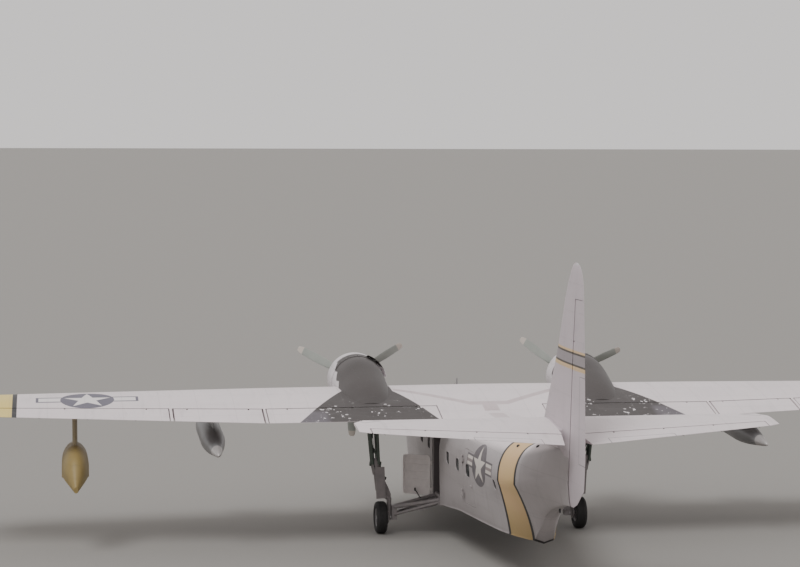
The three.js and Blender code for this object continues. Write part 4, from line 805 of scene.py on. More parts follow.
# Hull pieces
WELL_FRONT, WELL_REAR, WELL_Y, WELL_LOW, WELL_HIGH, WELL_WALL = 7.65, 8.7, 0.85, 0.85, 2.95, 0.09
NOSE_WELL_FRONT, NOSE_WELL_REAR, NOSE_WELL_HALF, NOSE_WELL_TOP = 2.33, 3.13, 0.42, 1.29
WINDOWS, DOOR_WINDOW, TAIL_WINDOW = (6.1, 7.18, 9.795, 10.87), 11.84, 13.85
WINDOW_Z, WINDOW_HALF, TAIL_WINDOW_HALF = 2.29, (0.18, 0.16), (0.085, 0.125)
# windshield and cockpit side windows: front, rear, and low and high y or z
WINDSHIELD, SIDE_WINDOWS = (2.23, 2.82, 0.045, 0.64), ((2.38, 2.86, 2.56, 2.88), (2.96, 3.56, 2.56, 2.96))
DOOR_FRONT, DOOR_SWING, DOOR_LOW, DOOR_HIGH, DOOR_GAP = 11.415, 0.85, 1.42, 2.8, 0.008
DOOR_HINGE = (11.41, HULL(DOOR_FRONT)[5] + 0.026)


def wheel_room(side):
    return between(WELL_FRONT, WELL_REAR, WELL_LOW, WELL_HIGH, WELL_Y, 3.0, side)


def rounded(half_a, half_b, power=0.5, count=32):
    """A rectangle with round corners around zero."""
    return [(half_a * math.copysign(abs(math.cos(a)) ** power, math.cos(a)),
             half_b * math.copysign(abs(math.sin(a)) ** power, math.sin(a))) for a in circle_turns(count)]


def window_hole(station, low_y=0.0, half=WINDOW_HALF, side=1):
    outline = rounded(*half)
    return Shape(side).loft([[(station + a, y, WINDOW_Z + b) for a, b in outline] for y in (low_y, 3.0)])


def doorway(gap):
    swept = Shape().disc(DOOR_SWING - gap, 0, DOOR_HIGH - DOOR_LOW - 2 * gap, (*DOOR_HINGE, DOOR_LOW + gap),
                         UP, 96)
    return crossed(swept, between(DOOR_FRONT + gap, DOOR_FRONT + DOOR_SWING, 0, 9, 0.4, 3))


def shell(low, high, high_inner=None, skin=HULL_SKIN):
    return combine(hull_solid(low, high), hull_solid(low - 0.01, high_inner or high + 0.01, skin))


def hull_part(piece, node, body="root"):
    part(piece, f"{node}_skin", body, hull_grey, node)


def build_hull():
    hull_part(hull_solid(HULL.low, BOW_END - SEAM), "bow")
    bottom = crossed(hull_solid(BOW_END, CABIN_END - SEAM), between(0, LENGTH, -1, FLOOR_Z - SEAM))
    nose_well = between(NOSE_WELL_FRONT, NOSE_WELL_REAR, -0.5, NOSE_WELL_TOP, -NOSE_WELL_HALF, NOSE_WELL_HALF)
    hull_part(combine(bottom, nose_well, wheel_room(1), wheel_room(-1)), "hull_bottom")
    for name, side in SIDES:
        wall, casing = [
            crossed(solid, between(0, LENGTH, FLOOR_Z, ROOF_SPLIT_Z - SEAM, inner, 3, side)) for solid,
            inner in (
                (shell(COCKPIT_END + SEAM, CABIN_END - SEAM), 0),
                (hull_solid(WELL_FRONT - WELL_WALL, WELL_REAR + WELL_WALL), WELL_Y - WELL_WALL))]
        combine(wall, casing, operation="UNION")
        combine(wall, wheel_room(side), *[window_hole(station, side=side) for station in WINDOWS])
        if side > 0:
            combine(wall, doorway(0))
        part(wall, f"cabin_wall_skin_{name}", "root", hull_grey, f"cabin_wall_{name}")
    roof = crossed(shell(COCKPIT_END + SEAM, CABIN_END - SEAM), between(0, LENGTH, ROOF_SPLIT_Z))
    hull_part(roof, "cabin_roof")
    door = crossed(shell(DOOR_FRONT - 0.1, DOOR_FRONT + 1.1), doorway(DOOR_GAP))
    hull_part(combine(door, window_hole(DOOR_WINDOW)), "cabin_door", "cabin_door")
    cockpit = crossed(shell(BOW_END, COCKPIT_END), between(0, LENGTH, FLOOR_Z))
    for _, side in SIDES:
        holes = [between(*WINDSHIELD[:2], 2.9, 3.9, *WINDSHIELD[2:], side)]
        combine(cockpit, *holes, *[between(*window, 0.72, 3, side) for window in SIDE_WINDOWS])
    part(cockpit, "cockpit_skin", "root", hull_grey, "cockpit_shell")
    tail = shell(CABIN_END, HULL_END, TAIL_ROOM_END, TAIL_SKIN)
    hull_part(combine(tail, window_hole(TAIL_WINDOW, -3.0, TAIL_WINDOW_HALF), rudder.room()), "tail_cone")
    radome = Shape().turned([(0, 0), (0.03, 0.0015), (0.06, 0.006), (0.105, 0.024), (0.15, 0.05),
                             (0.19, 0.09),
                             (0.225, 0.14), (0.253, 0.205), (0.275, 0.28), (0.291, 0.37), (0.3, 0.46),
                             (0.295, 0.5594), (0, 0.5594)], (0, 0, 2.405), sides=64)
    part(radome, "radome_skin", "root", black_gloss, "nose_radome")


# Nacelles, cowls, engines and propellers
COWL_FRONT, FIREWALL, NACELLE_END, PROPELLER_S = 5.25, 6.05, 8.76, 4.8
CYLINDER_S, CYLINDERS, COWL_FLAPS = 5.56, 9, 18
# columns: station, half width, top z, bottom z
NACELLE = Table([(6050, 720, 4530, 3090), (6500, 715, 4500, 2960), (7400, 690, 4230, 2880),
                 (8100, 640, 3960, 2900),
                 (8760, 560, 3600, 3000)])
# columns: radius, chord, thickness, twist in degrees from the plane of rotation
BLADE = Table([(90, 130, 130, 56), (300, 150, 110, 52), (620, 245, 62, 42), (1000, 270, 36, 32),
               (1450, 225, 22, 24),
               (1676, 70, 8, 20)])
BLADE_ROUNDING, BLADE_TIP = 1.45, 1.676
PROPELLER_TURN = dict(left=1.3, right=-6.5)


def around(turn):
    """Directions outward and across at a turn from the top, seen from behind."""
    return Vector((0, math.sin(turn), math.cos(turn))), Vector((0, math.cos(turn), -math.sin(turn)))


def blade(centre, turn):
    (out, across), rings = around(turn), []
    for radius in [*np.linspace(0.09, 1.5, 15), 1.57, 1.62, 1.65, 1.67, BLADE_TIP]:
        chord, thickness, twist = BLADE(radius)
        if radius > BLADE_ROUNDING:
            t = (radius - BLADE_ROUNDING) / (BLADE_TIP - BLADE_ROUNDING)
            chord = 0.07 + (0.225 - 0.07) * math.sqrt(max(1 - t * t, 0))
        flat, steep = math.cos(math.radians(twist / MM)), math.sin(math.radians(twist / MM))
        ring = []
        for angle in circle_turns(20):
            wide, deep = chord / 2 * math.cos(angle), thickness / 2 * math.sin(angle)
            place = centre + out * radius + across * (wide * flat + deep * steep)
            ring.append(place + AFT * (wide * steep - deep * flat))
        rings.append(ring)
    return rings


def on_axis(side, station):
    return Vector((station, side * ENGINE_Y, ENGINE_Z))


def propeller_turns(name):
    return [math.radians(PROPELLER_TURN[name] + 60 + 120 * i) for i in range(3)]


def build_engines():
    for name, side in SIDES:
        nacelle, rings = Shape(side), []
        for station in np.linspace(FIREWALL, NACELLE_END, 28):
            half, top, low = NACELLE(station)
            rings.append([(station, ENGINE_Y + half * math.cos(a),
                           (top + low) / 2 + (top - low) / 2 * math.sin(a))
                          for a in circle_turns(64)])
        nacelle.loft(rings)
        part(nacelle, f"nacelle_skin_{name}", "root", nacelle_grey, f"nacelle_{name}")
        cowl = Shape().turned([(0.6, 0.06), (0.607, 0.028), (0.62, 0.008), (0.635, 0.001), (0.65, 0),
                               (0.672, 0.004),
                               (0.69, 0.012), (0.712, 0.045), (0.728, 0.09), (0.738, 0.17), (0.745, 0.26),
                               (0.743, 0.5), (0.735, 0.7994), (0.715, 0.7994), (0.715, 0.3), (0.69, 0.2),
                               (0.64, 0.12)], on_axis(side, COWL_FRONT), sides=96)
        part(cowl, f"cowl_skin_{name}", "root", cowl_white, f"cowl_{name}")
        propeller, centre = Shape(), on_axis(side, PROPELLER_S)
        for turn in propeller_turns(name):
            propeller.loft(blade(centre, turn))
        propeller.turned([(0, -0.19), (0.035, -0.188), (0.06, -0.18), (0.08, -0.165), (0.095, -0.14),
                          (0.105, -0.1),
                          (0.11, -0.06), (0.15, -0.04), (0.15, 0.05), (0.11, 0.075), (0.0503, 0.075),
                          (0.0503, 0.058), (0, 0.058)], centre, sides=40)
        part(propeller, f"propeller_blades_{name}", f"propeller_{name}", blade_grey, f"propeller_{name}")


# Floats and tanks
FLOAT_Y, TANK_Y, TANK_NOSE, TANK_Z, TANK_SLOPE = 10.7, 7.16, 5.1, 2.74, math.radians(2.5)
# columns: station, keel z, chine half width, chine z, side half width, side z, top z
FLOAT = Table([(6900, 2240, 40, 2260, 60, 2300, 2360), (7150, 1900, 190, 2060, 210, 2180, 2470),
               (7700, 1640, 320, 1880, 335, 2080, 2580), (8550, 1520, 345, 1800, 345, 2060, 2610),
               (8580, 1590, 340, 1830, 343, 2060, 2610), (9300, 1610, 240, 1790, 260, 1990, 2420),
               (9900, 1600, 40, 1620, 55, 1660, 1760)], breaks=(8.55, 8.58))
FLOAT_STATIONS = (6.9, 6.95, 7.02, 7.15, 7.3, 7.5, 7.7, 8.0, 8.3, 8.55, 8.58, 8.8, 9.05, 9.3, 9.5, 9.7, 9.82,
                  9.9)


def float_ring(station):
    keel, chine_y, chine_z, side_y, side_z, top = FLOAT(station)
    half = [(chine_y * t, keel + (chine_z - keel) * t) for t in (0.5, 1)]
    half += [(chine_y + (side_y - chine_y) * t, chine_z + (side_z - chine_z) * t) for t in (0.5, 1)]
    half += [(side_y * math.cos(a), side_z + (top - side_z) * math.sin(a))
             for a in np.linspace(0, math.pi / 2, 13)[1:-1]]
    ring = [(0, keel), *half, (0, top), *[(-y, z) for y, z in reversed(half)]]
    return [(station, FLOAT_Y + y, z) for y, z in ring]


def pylon(shape, y, thickness, *ends):
    return shape.loft([Section((front, y, z), AFT, OUT, rear - front, thickness).ring() for z, front,
                       rear in ends])


def build_stores():
    tank_profile = [(0, 0), (0.05, 0.018), (0.09, 0.06), (0.145, 0.15), (0.19, 0.26), (0.235, 0.42),
                    (0.27, 0.62),
                    (0.3, 0.88), (0.315, 1.2), (0.315, 3.0), (0.303, 3.25), (0.282, 3.5), (0.256, 3.73),
                    (0.225, 3.96),
                    (0.19, 4.2), (0.15, 4.45), (0.12, 4.64), (0.09, 4.83), (0.065, 4.96), (0.04, 5.05),
                    (0, 5.1)]
    for name, side in SIDES:
        body = Shape(side).loft([float_ring(s) for s in FLOAT_STATIONS])
        pylon(body, FLOAT_Y, 0.13, (2.5, 7.75, 8.65), (3.5, 7.5, 8.4))
        part(body, f"float_skin_{name}", "root", float_ochre, f"float_{name}")
        tank = Shape(side).turned(tank_profile, (TANK_NOSE, TANK_Y, TANK_Z), tilted(TANK_SLOPE)[0], 64)
        pylon(tank, TANK_Y, 0.12, (2.7, 6.55, 8.25), (3.5, 6.65, 8.4))
        part(tank, f"tank_skin_{name}", "root", tank_silver, f"tank_{name}")


# Light, floor and camera
FLOOR_REACH, SKY = 600, (0.93, 0.90, 0.89, 1)
CAMERA_PLACE = (-53.95, 11.26, 11.12)
CAMERA_YAW, CAMERA_PITCH, CAMERA_ROLL = -9.24, 4.55, 0.28
CAMERA_LENS, SENSOR_WIDTH = 96.66, 36.0


def build_stage():
    floor, far = Shape(), FLOOR_REACH
    floor.points, floor.faces = [(-far, -far, 0), (far, -far, 0), (far, far, 0), (-far, far, 0)], [(0, 1, 2,
                                                                                                    3)]
    floor = floor.object("studio_floor")
    floor.data.materials.append(studio_grey)
    world = bpy.data.worlds.new("studio")
    bpy.context.scene.world = world
    world.use_nodes = True
    back = world.node_tree.nodes["Background"]
    back.inputs[0].default_value, back.inputs[1].default_value = SKY, 0.95
    sun = bpy.data.lights.new("soft_sun", "SUN")
    sun.energy, sun.angle = 2.0, math.radians(25)
    lamp = bpy.data.objects.new("soft_sun", sun)
    lamp.rotation_euler = (math.radians(-24), math.radians(-26), 0)
    data = bpy.data.cameras.new("camera")
    data.lens, data.sensor_width, data.sensor_fit = CAMERA_LENS, SENSOR_WIDTH, "HORIZONTAL"
    data.clip_end = 2000
    camera = bpy.data.objects.new("camera", data)
    turn = Euler((math.radians(90 - CAMERA_PITCH), 0, math.radians(CAMERA_YAW - 90))).to_matrix().to_4x4()
    camera.matrix_world = (Matrix.Translation(CAMERA_PLACE) @ turn
                           @ Matrix.Rotation(math.radians(CAMERA_ROLL), 4, "Z"))
    for made in (lamp, camera):
        bpy.context.scene.collection.objects.link(made)
    bpy.context.scene.camera = camera


# Windows, door and small parts of the hull
def on_hull(station, z, inset=0.0):
    ring = [(p[2], p[1]) for p in hull_ring(station, inset) if p[1] >= 0]
    return Vector((station, float(np.interp(z, *zip(*ring))), z))


def on_roof(station, y, above=0.0):
    ring = sorted((abs(p[1]), p[2]) for p in hull_ring(station) if p[2] > HULL(station)[6])
    return Vector((station, y, float(np.interp(abs(y), *zip(*ring))) + above))


def edged(corners, steps):
    """Points along a closed outline."""
    return [(a + (c - a) * k / steps, b + (d - b) * k / steps)
            for (a, b), (c, d) in zip(corners, corners[1:] + corners[:1]) for k in range(steps)]


def build_windows():
    frames, panes, door_frame, door_pane = [Shape() for _ in range(4)]
    for _, side in each_side(frames, panes):
        rows = [(station, WINDOW_HALF, frames, panes) for station in WINDOWS]
        rows.append((TAIL_WINDOW, TAIL_WINDOW_HALF, frames, panes))
        if side > 0:
            rows.append((DOOR_WINDOW, WINDOW_HALF, door_frame, door_pane))
        for station, half, rim, pane in rows:
            rim.pipe([on_hull(station + a, WINDOW_Z + b, 0.004) for a, b in rounded(*half)], 0.011, 8,
                     loop=True)
            outline = rounded(half[0] + 0.005, half[1] + 0.005)
            pane.loft([[on_hull(station + a, WINDOW_Z + b, inset) for a, b in outline]
                       for inset in (0.022, 0.032)])
        for low, high, low_z, high_z in SIDE_WINDOWS:
            outline = rounded((high - low) / 2, (high_z - low_z) / 2, 0.22, 48)
            frames.pipe([on_hull((low + high) / 2 + a, (low_z + high_z) / 2 + b, 0.002) for a, b in outline],
                        0.013, 8, loop=True)
    part(frames, "window_frames", "root", hull_grey)
    part(panes, "cabin_panes", "root", glass, slot="window_glass")
    part(door_frame, "door_window_frame", "cabin_door", hull_grey)
    part(door_pane, "door_pane", "cabin_door", glass, slot="window_glass")


def build_windshield():
    bars, wipers = Shape(), Shape()
    front, rear, inner, outer = WINDSHIELD
    for _ in each_side(bars, wipers):
        corners = [(front, inner), (front, outer), (rear, outer), (rear, inner)]
        bars.pipe([on_roof(*place) for place in edged(corners, 6)], 0.014, 8, loop=True)
        for path, above, radius in (([(2.2, 0.12), (2.35, 0.2), (2.52, 0.3)], 0.03, 0.007),
                                    ([(2.34, 0.36), (2.52, 0.3), (2.7, 0.24)], 0.02, 0.008)):
            wipers.pipe([on_roof(*place, above) for place in path], radius, 8)
    part(bars, "windshield_frames", "root", frame_grey)
    part(wipers, "windshield_wipers", "root", dark_metal)


def build_door():
    (s, y), fixed, moving, gasket = DOOR_HINGE, Shape(), Shape(), Shape()
    for z in (1.65, 2.5):
        moving.pipe([(s, y, z - 0.05), (s, y, z + 0.05)], 0.02)
        moving.box((s, y - 0.024, z - 0.04), (s + 0.11, y - 0.012, z + 0.04))
        for low in (z - 0.115, z + 0.055):
            fixed.pipe([(s, y, low), (s, y, low + 0.06)], 0.02)
            fixed.box((s - 0.08, y - 0.026, low + 0.005), (s, y - 0.012, low + 0.055))
    handle = on_hull(12.12, 1.95)
    moving.pipe([handle + OUT * 0.03 - AFT * 0.07, handle + OUT * 0.015 + AFT * 0.07], 0.011)
    moving.pipe([handle - OUT * 0.04, handle + OUT * 0.022], 0.013)
    inner = [on_hull(station, 1.75, HULL_SKIN) for station in (11.6, 12.05)]
    moving.pipe([inner[0], inner[0] - OUT * 0.05, inner[1] - OUT * 0.05, inner[1]], 0.012)
    part(moving, "door_hinges_and_handle", "cabin_door", hull_grey)
    part(fixed, "door_frame_hinges", "root", hull_grey)
    front, rear, low, high = DOOR_FRONT - 0.012, DOOR_FRONT + 0.862, DOOR_LOW - 0.01, DOOR_HIGH + 0.01
    corners = [(front, low), (rear, low), (rear, high), (front, high)]
    gasket.pipe([on_hull(*place, 0.004) for place in edged(corners, 12)], 0.007, 8, loop=True)
    part(gasket, "door_edge_strip", "root", hull_grey)


def build_hull_trim():
    trim, fittings, domes, rings = [Shape() for _ in range(4)]
    for _ in each_side(trim):
        for low, high, count, off, radius in ((1.0, 8.72, 60, 0.004, 0.016), (8.8, 15.2, 50, 0.003, 0.012)):
            rows = [(s, HULL(s)) for s in np.linspace(low, high, count)]
            trim.pipe([(s, row[1] + off, row[2] + off) for s, row in rows], radius, 8)
    trim.pipe([(s, 0, HULL(s)[0] + 0.002) for s in np.linspace(1.0, 8.7, 50)], 0.014, 8)
    part(trim, "chine_and_keel_strips", "root", hull_grey)
    for station, y, tall, chord in ((4.2, 0, 0.34, 0.3), (5.15, 0.25, 0.28, 0.22)):
        foot = on_roof(station, y, -0.02)
        rows = [(0, 1, 0.03, 0.0), (0.6, 0.75, 0.022, 0.06), (1, 0.4, 0.01, 0.13)]
        fittings.loft([Section(foot + UP * tall * up + AFT * lean, AFT, OUT, chord * share, thick).ring()
                       for up, share, thick, lean in rows])
    profile = [(0, -0.28), (0.05, -0.25), (0.085, -0.15), (0.095, 0), (0.08, 0.15), (0.04, 0.27), (0, 0.3)]
    fittings.turned(profile, on_roof(4.75, 0, 0.06), sides=24)
    part(fittings, "roof_aerials", "root", frame_grey)
    for _ in each_side(domes):
        for place in ((14.72, 0.49), (15.95, 0.3), (12.96, 0.65)):
            domes.turned([(0, 0.035), (0.025, 0.03), (0.045, 0.012), (0.05, -0.01), (0, -0.02)],
                         on_roof(*place),
                         (0, 0.3, 1), 16)
    part(domes, "roof_domes", "root", dark_metal)
    for station, z in ((0.62, 2.03), (1.25, 1.36), (16.9, 2.2)):
        rings.pipe([(station - 0.05 * math.cos(a), 0, z + 0.05 * math.sin(a)) for a in circle_turns(20)],
                   0.011, 8, loop=True)
    for _ in each_side(rings):
        for station in (1.5, 4.1):
            y, bends = on_hull(station, 2.5).y, ((-0.12, 0), (-0.1, 0.03), (0.1, 0.03), (0.12, 0))
            rings.pipe([(station + off, y + out, 2.52) for off, out in bends], 0.011, 8)
    part(rings, "mooring_rings_and_grips", "root", dark_metal)


def build_wells():
    """Ribs and pipes in the main wheel wells, and the doors of the nose wheels' well."""
    ribs, pipes, doors = Shape(), Shape(), Shape()
    for _ in each_side(ribs, pipes, doors):
        for station in (7.8, 8.0, 8.2, 8.4, 8.58):
            ribs.box((station - 0.02, WELL_Y - 0.01, 1.0), (station + 0.02, WELL_Y + 0.045, 2.9))
        for z in (1.35, 2.05, 2.6):
            ribs.box((7.66, WELL_Y - 0.01, z - 0.02), (8.69, WELL_Y + 0.03, z + 0.02))
        for k, z in enumerate((1.6, 1.68, 2.3)):
            bends = ((7.67, 0.07, 0), (8.1, 0.08, 0.05 * k), (8.68, 0.07, 0))
            pipes.pipe([(station, WELL_Y + out, z + up) for station, out, up in bends], 0.014, 8)
        y, rows = NOSE_WELL_HALF + 0.012, [(s, HULL(s)) for s in np.linspace(2.36, 3.1, 8)]
        edges = [(s, row[0] + (row[2] - row[0]) * NOSE_WELL_HALF / row[1] + 0.03) for s, row in rows]
        doors.loft([[(s, y, z), (s, y + 0.016, z), (s, y + 0.075, 0.76), (s, y + 0.06, 0.755)] for s,
                    z in edges])
    part(ribs, "wheel_well_ribs", "root", primer)
    part(pipes, "wheel_well_pipes", "root", dark_metal)
    part(doors, "nose_well_doors", "root", hull_grey, slot="hull_paint")


WELL_DOOR_HINGE, WELL_DOOR_TIP = Vector((7.6, 1.315, 0)), Vector((7.2, 1.99, 0))
WELL_DOOR_LOW, WELL_DOOR_HIGH, WELL_DOOR_HALF, WELL_DOOR_LUGS = 0.93, 2.0, 0.018, (1.08, 1.8)


def build_well_doors():
    """The wheel wells' doors stand open at the front edges, with rims, ribs, lugs and rods to the frames."""
    reach, half = (WELL_DOOR_TIP - WELL_DOOR_HINGE).length, WELL_DOOR_HALF
    middle, tall = (WELL_DOOR_LOW + WELL_DOOR_HIGH) / 2, (WELL_DOOR_HIGH - WELL_DOOR_LOW) / 2
    ahead = (WELL_DOOR_TIP - WELL_DOOR_HINGE) / reach
    axes = (ahead, Vector((-ahead.y, ahead.x, 0)), UP)

    def spot(along, out, z):
        return WELL_DOOR_HINGE + axes[0] * along + axes[1] * out + UP * z

    def outline(out, share=1.0, share_z=1.0):
        corners = rounded(reach / 2, tall, 0.16, 48)
        return [spot(reach / 2 + a * share, out, middle + b * share_z) for a, b in corners]
    for name, side in SIDES:
        door, rod = Shape(side), Shape(side)
        door.loft([outline(half * 0.4), outline(half)])
        door.loft([outline(half * 0.5), outline(-half), outline(-half, 0.9, 0.93), outline(half * 0.5, 0.9,
                                                                                           0.93)],
                  closed=True)
        for z in (1.13, 1.33, 1.53, 1.73, 1.87):
            door.slab(WELL_DOOR_HINGE, axes, (0.03, -half * 0.6, z - 0.014), (reach - 0.03, half * 0.5,
                                                                              z + 0.014))
        for z in WELL_DOOR_LUGS:
            door.box((7.575, 1.262, z - 0.045), (7.636, 1.33, z + 0.045))
            door.pipe([spot(0.004, 0, z - 0.05), spot(0.004, 0, z + 0.05)], 0.017, 16)
        part(door, f"wheel_door_{name}", "root", door_pale_painted_light, f"well_door_{name}")
        rod.pipe([spot(reach * 0.55, -0.02, 1.06), (7.84, 1.62, 0.9)], 0.014, 12)
        rod.pipe([spot(reach * 0.55, -half, 1.02), spot(reach * 0.55, -half, 1.1)], 0.022, 12)
        part(rod, f"wheel_door_rod_{name}", "root", dark_metal)


# Engine details: crankcase, nine cylinders, pipes and flaps
def build_power_details():
    for name, side in SIDES:
        y = side * ENGINE_Y
        metal, dark, pale = Shape(), Shape(), Shape()
        metal.turned([(0, 0), (0.049, 0), (0.049, 0.21), (0.11, 0.215), (0.125, 0.24), (0.15, 0.3),
                      (0.185, 0.33),
                      (0.2, 0.36), (0.225, 0.44), (0.235, 0.5), (0.27, 0.53), (0.3, 0.6), (0.3, 0.93),
                      (0.26, 0.99),
                      (0, 0.99)], on_axis(side, PROPELLER_S))
        rear = [(0, 0), (0.7, 0), (0.712, 0.02), (0.712, 0.1), (0, 0.1)]
        dark.turned(rear, on_axis(side, 5.76), sides=64)
        profile = [(0, 0.28), (0.09, 0.28)]
        for j in range(14):
            fin, low = (0.108 if j < 8 else 0.125), 0.31 + j * 0.022
            profile += [(fin, low), (fin, low + 0.006), (0.085, low + 0.008), (0.085, low + 0.02)]
        profile += [(0.1, 0.63), (0.06, 0.655), (0, 0.66)]
        for turn in circle_turns(CYLINDERS):
            out, across = around(turn)
            metal.turned(profile, on_axis(side, CYLINDER_S), out, 28)
            for hand in (-1, 1):
                head = on_axis(side, CYLINDER_S) + out * 0.6 + across * hand * 0.075
                rocker = [(0, 0), (0.034, 0), (0.038, 0.03), (0.03, 0.05), (0, 0.055)]
                pale.turned(rocker, head - AFT * 0.04, out, 16)
                foot = on_axis(side, 5.3) + out * 0.235 + across * hand * 0.035
                pale.pipe([foot, head - AFT * 0.055], 0.011, 8)
                lead = [on_axis(side, 5.22) + out * 0.285, head - out * 0.12 - AFT * 0.14, head - out * 0.03]
                dark.pipe(lead, 0.006, 6)
        dark.pipe([on_axis(side, 5.22) + around(a)[0] * 0.285 for a in circle_turns(48)], 0.016, 8, loop=True)
        for hand in (-1, 1):
            pale.pipe([(s, y + hand * out, ENGINE_Z + up) for s, out, up in ((5.16, 0.14, 0.12),
                                                                             (5.34, 0.17, 0.15))],
                      0.045, 16)
        part(metal, f"engine_core_{name}", "root", engine_metal, f"engine_{name}")
        part(dark, f"engine_leads_{name}", "root", dark_metal)
        part(pale, f"engine_tubes_{name}", "root", bright_metal)
        # cooling flaps around the cowl's rear: shut, save for those high on the inboard side
        flaps, front, half_step = Shape(), np.array((0.738, 0.738, ENGINE_Z)), math.pi / COWL_FLAPS
        half, top, low = NACELLE(6.21)
        for k in range(COWL_FLAPS):
            middle = half_step * (2 * k + 1)
            rear = (half + 0.004, (top - low) / 2 + 0.004, (top + low) / 2)
            if -side * math.sin(middle) > 0.25 and math.cos(middle) > 0.2:
                rear = (0.79, 0.79, ENGINE_Z)
            turns, rings = np.linspace(middle - half_step + 0.008, middle + half_step - 0.008, 7), []
            for t in (0.0, 0.5, 1.0):
                wide, tall, middle_z = front + (rear - front) * t
                rings.append([
                    (5.975 + 0.235 * t, y + (wide + grow) * math.sin(a),
                     middle_z + (tall + grow) * math.cos(a))
                    for grow, row in ((0.0, turns), (0.006, turns[::-1])) for a in row])
            flaps.loft(rings)
        part(flaps, f"cowl_flaps_{name}", "root", cowl_white, slot="cowl_paint")
        # exhausts, a vent and the oil cooler
        pipes = Shape()
        for turn in (-math.radians(128), math.radians(128)):
            path = [on_axis(side, s) - UP * 0.03 + around(turn)[0] * radius
                    for s, radius in ((6.02, 0.69), (6.2, 0.735), (6.4, 0.765), (6.62, 0.78))]
            pipes.pipe(path, (0.07, 0.072, 0.07, 0.062), 20)
        vent = [(0.09, 0.0), (0.105, 0.02), (0.12, 0.5), (0.11, 0.5), (0.085, 0.03)]
        pipes.turned(vent, (6.35, y, 2.93), sides=28)
        part(pipes, f"exhausts_{name}", "root", dark_metal)
        rows = ((6.2, 0.13, 0.12), (6.3, 0.16, 0.19), (6.8, 0.17, 0.19), (7.3, 0.14, 0.12), (7.9, 0.06, 0.02))
        scoop = [[(s, y + half * math.sin(a), NACELLE(s)[2] + 0.03 - low * math.cos(a))
                  for a in circle_turns(24)]
                 for s, half, low in rows]
        part(Shape().loft(scoop), f"oil_cooler_{name}", "root", nacelle_grey, slot="nacelle_paint")
        hubs = Shape()
        for turn in propeller_turns(name):
            hubs.turned([(0, 0.08), (0.088, 0.08), (0.092, 0.12), (0.08, 0.15), (0.08, 0.2), (0.09, 0.205),
                         (0.09, 0.24), (0, 0.24)], on_axis(side, PROPELLER_S), around(turn)[0], 28)
        part(hubs, f"propeller_hub_{name}", f"propeller_{name}", frame_grey)


# Landing gear
WHEEL_S, WHEEL_Y, WHEEL_RADIUS, WHEEL_WIDTH, AXLE_BORE = 7.9, 2.7, 0.425, 0.29, 0.048
NOSE_WHEEL_S, NOSE_WHEEL_Y, NOSE_RADIUS, NOSE_WIDTH, NOSE_BORE = 2.78, 0.175, 0.33, 0.19, 0.04


def wheel(name, body, centre, radius, width, bore, node):
    """A tyre with ribs on a bolted hub; the axle runs in its bore."""
    half, centre = width / 2, Vector(centre)
    tread = [(0.56, 0.78), (0.62, 0.9), (0.72, 0.99), (0.8, 1.0), (0.88, 0.95), (0.94, 0.82), (0.98, 0.62),
             (0.995, 0.5),
             (0.997, 0.46), (0.972, 0.44), (0.972, 0.36), (0.998, 0.34), (0.999, 0.18), (0.974, 0.16),
             (0.974, 0.08),
             (1.0, 0.06)]
    tyre = [(radius * r, half * w) for r, w in tread]
    inside = [(radius * 0.53, -half * 0.7), (radius * 0.53, half * 0.7)]
    rows = tyre + [(r, -w) for r, w in reversed(tyre)] + inside
    part(Shape().turned(rows, centre, OUT, 80), f"{name}_tyre", body, rubber, node, sharp=30)
    hub = [(bore, 0.62), (bore + 0.035, 0.66), (bore + 0.045, 0.45), (radius * 0.42, 0.36),
           (radius * 0.47, 0.72),
           (radius * 0.57, 0.8), (radius * 0.575, 0.72), (radius * 0.5, 0.6)]
    rows = [(r, half * w) for r, w in hub]
    metal = Shape().turned(rows + [(r, -w) for r, w in reversed(rows)], centre, OUT, 56)
    for a in circle_turns(8):
        bolt = centre + Vector((math.cos(a), 0, math.sin(a))) * radius * 0.3
        metal.pipe([bolt - OUT * half * 0.5, bolt + OUT * half * 0.5], radius * 0.03, 6)
    part(metal, f"{name}_hub", body, frame_grey)


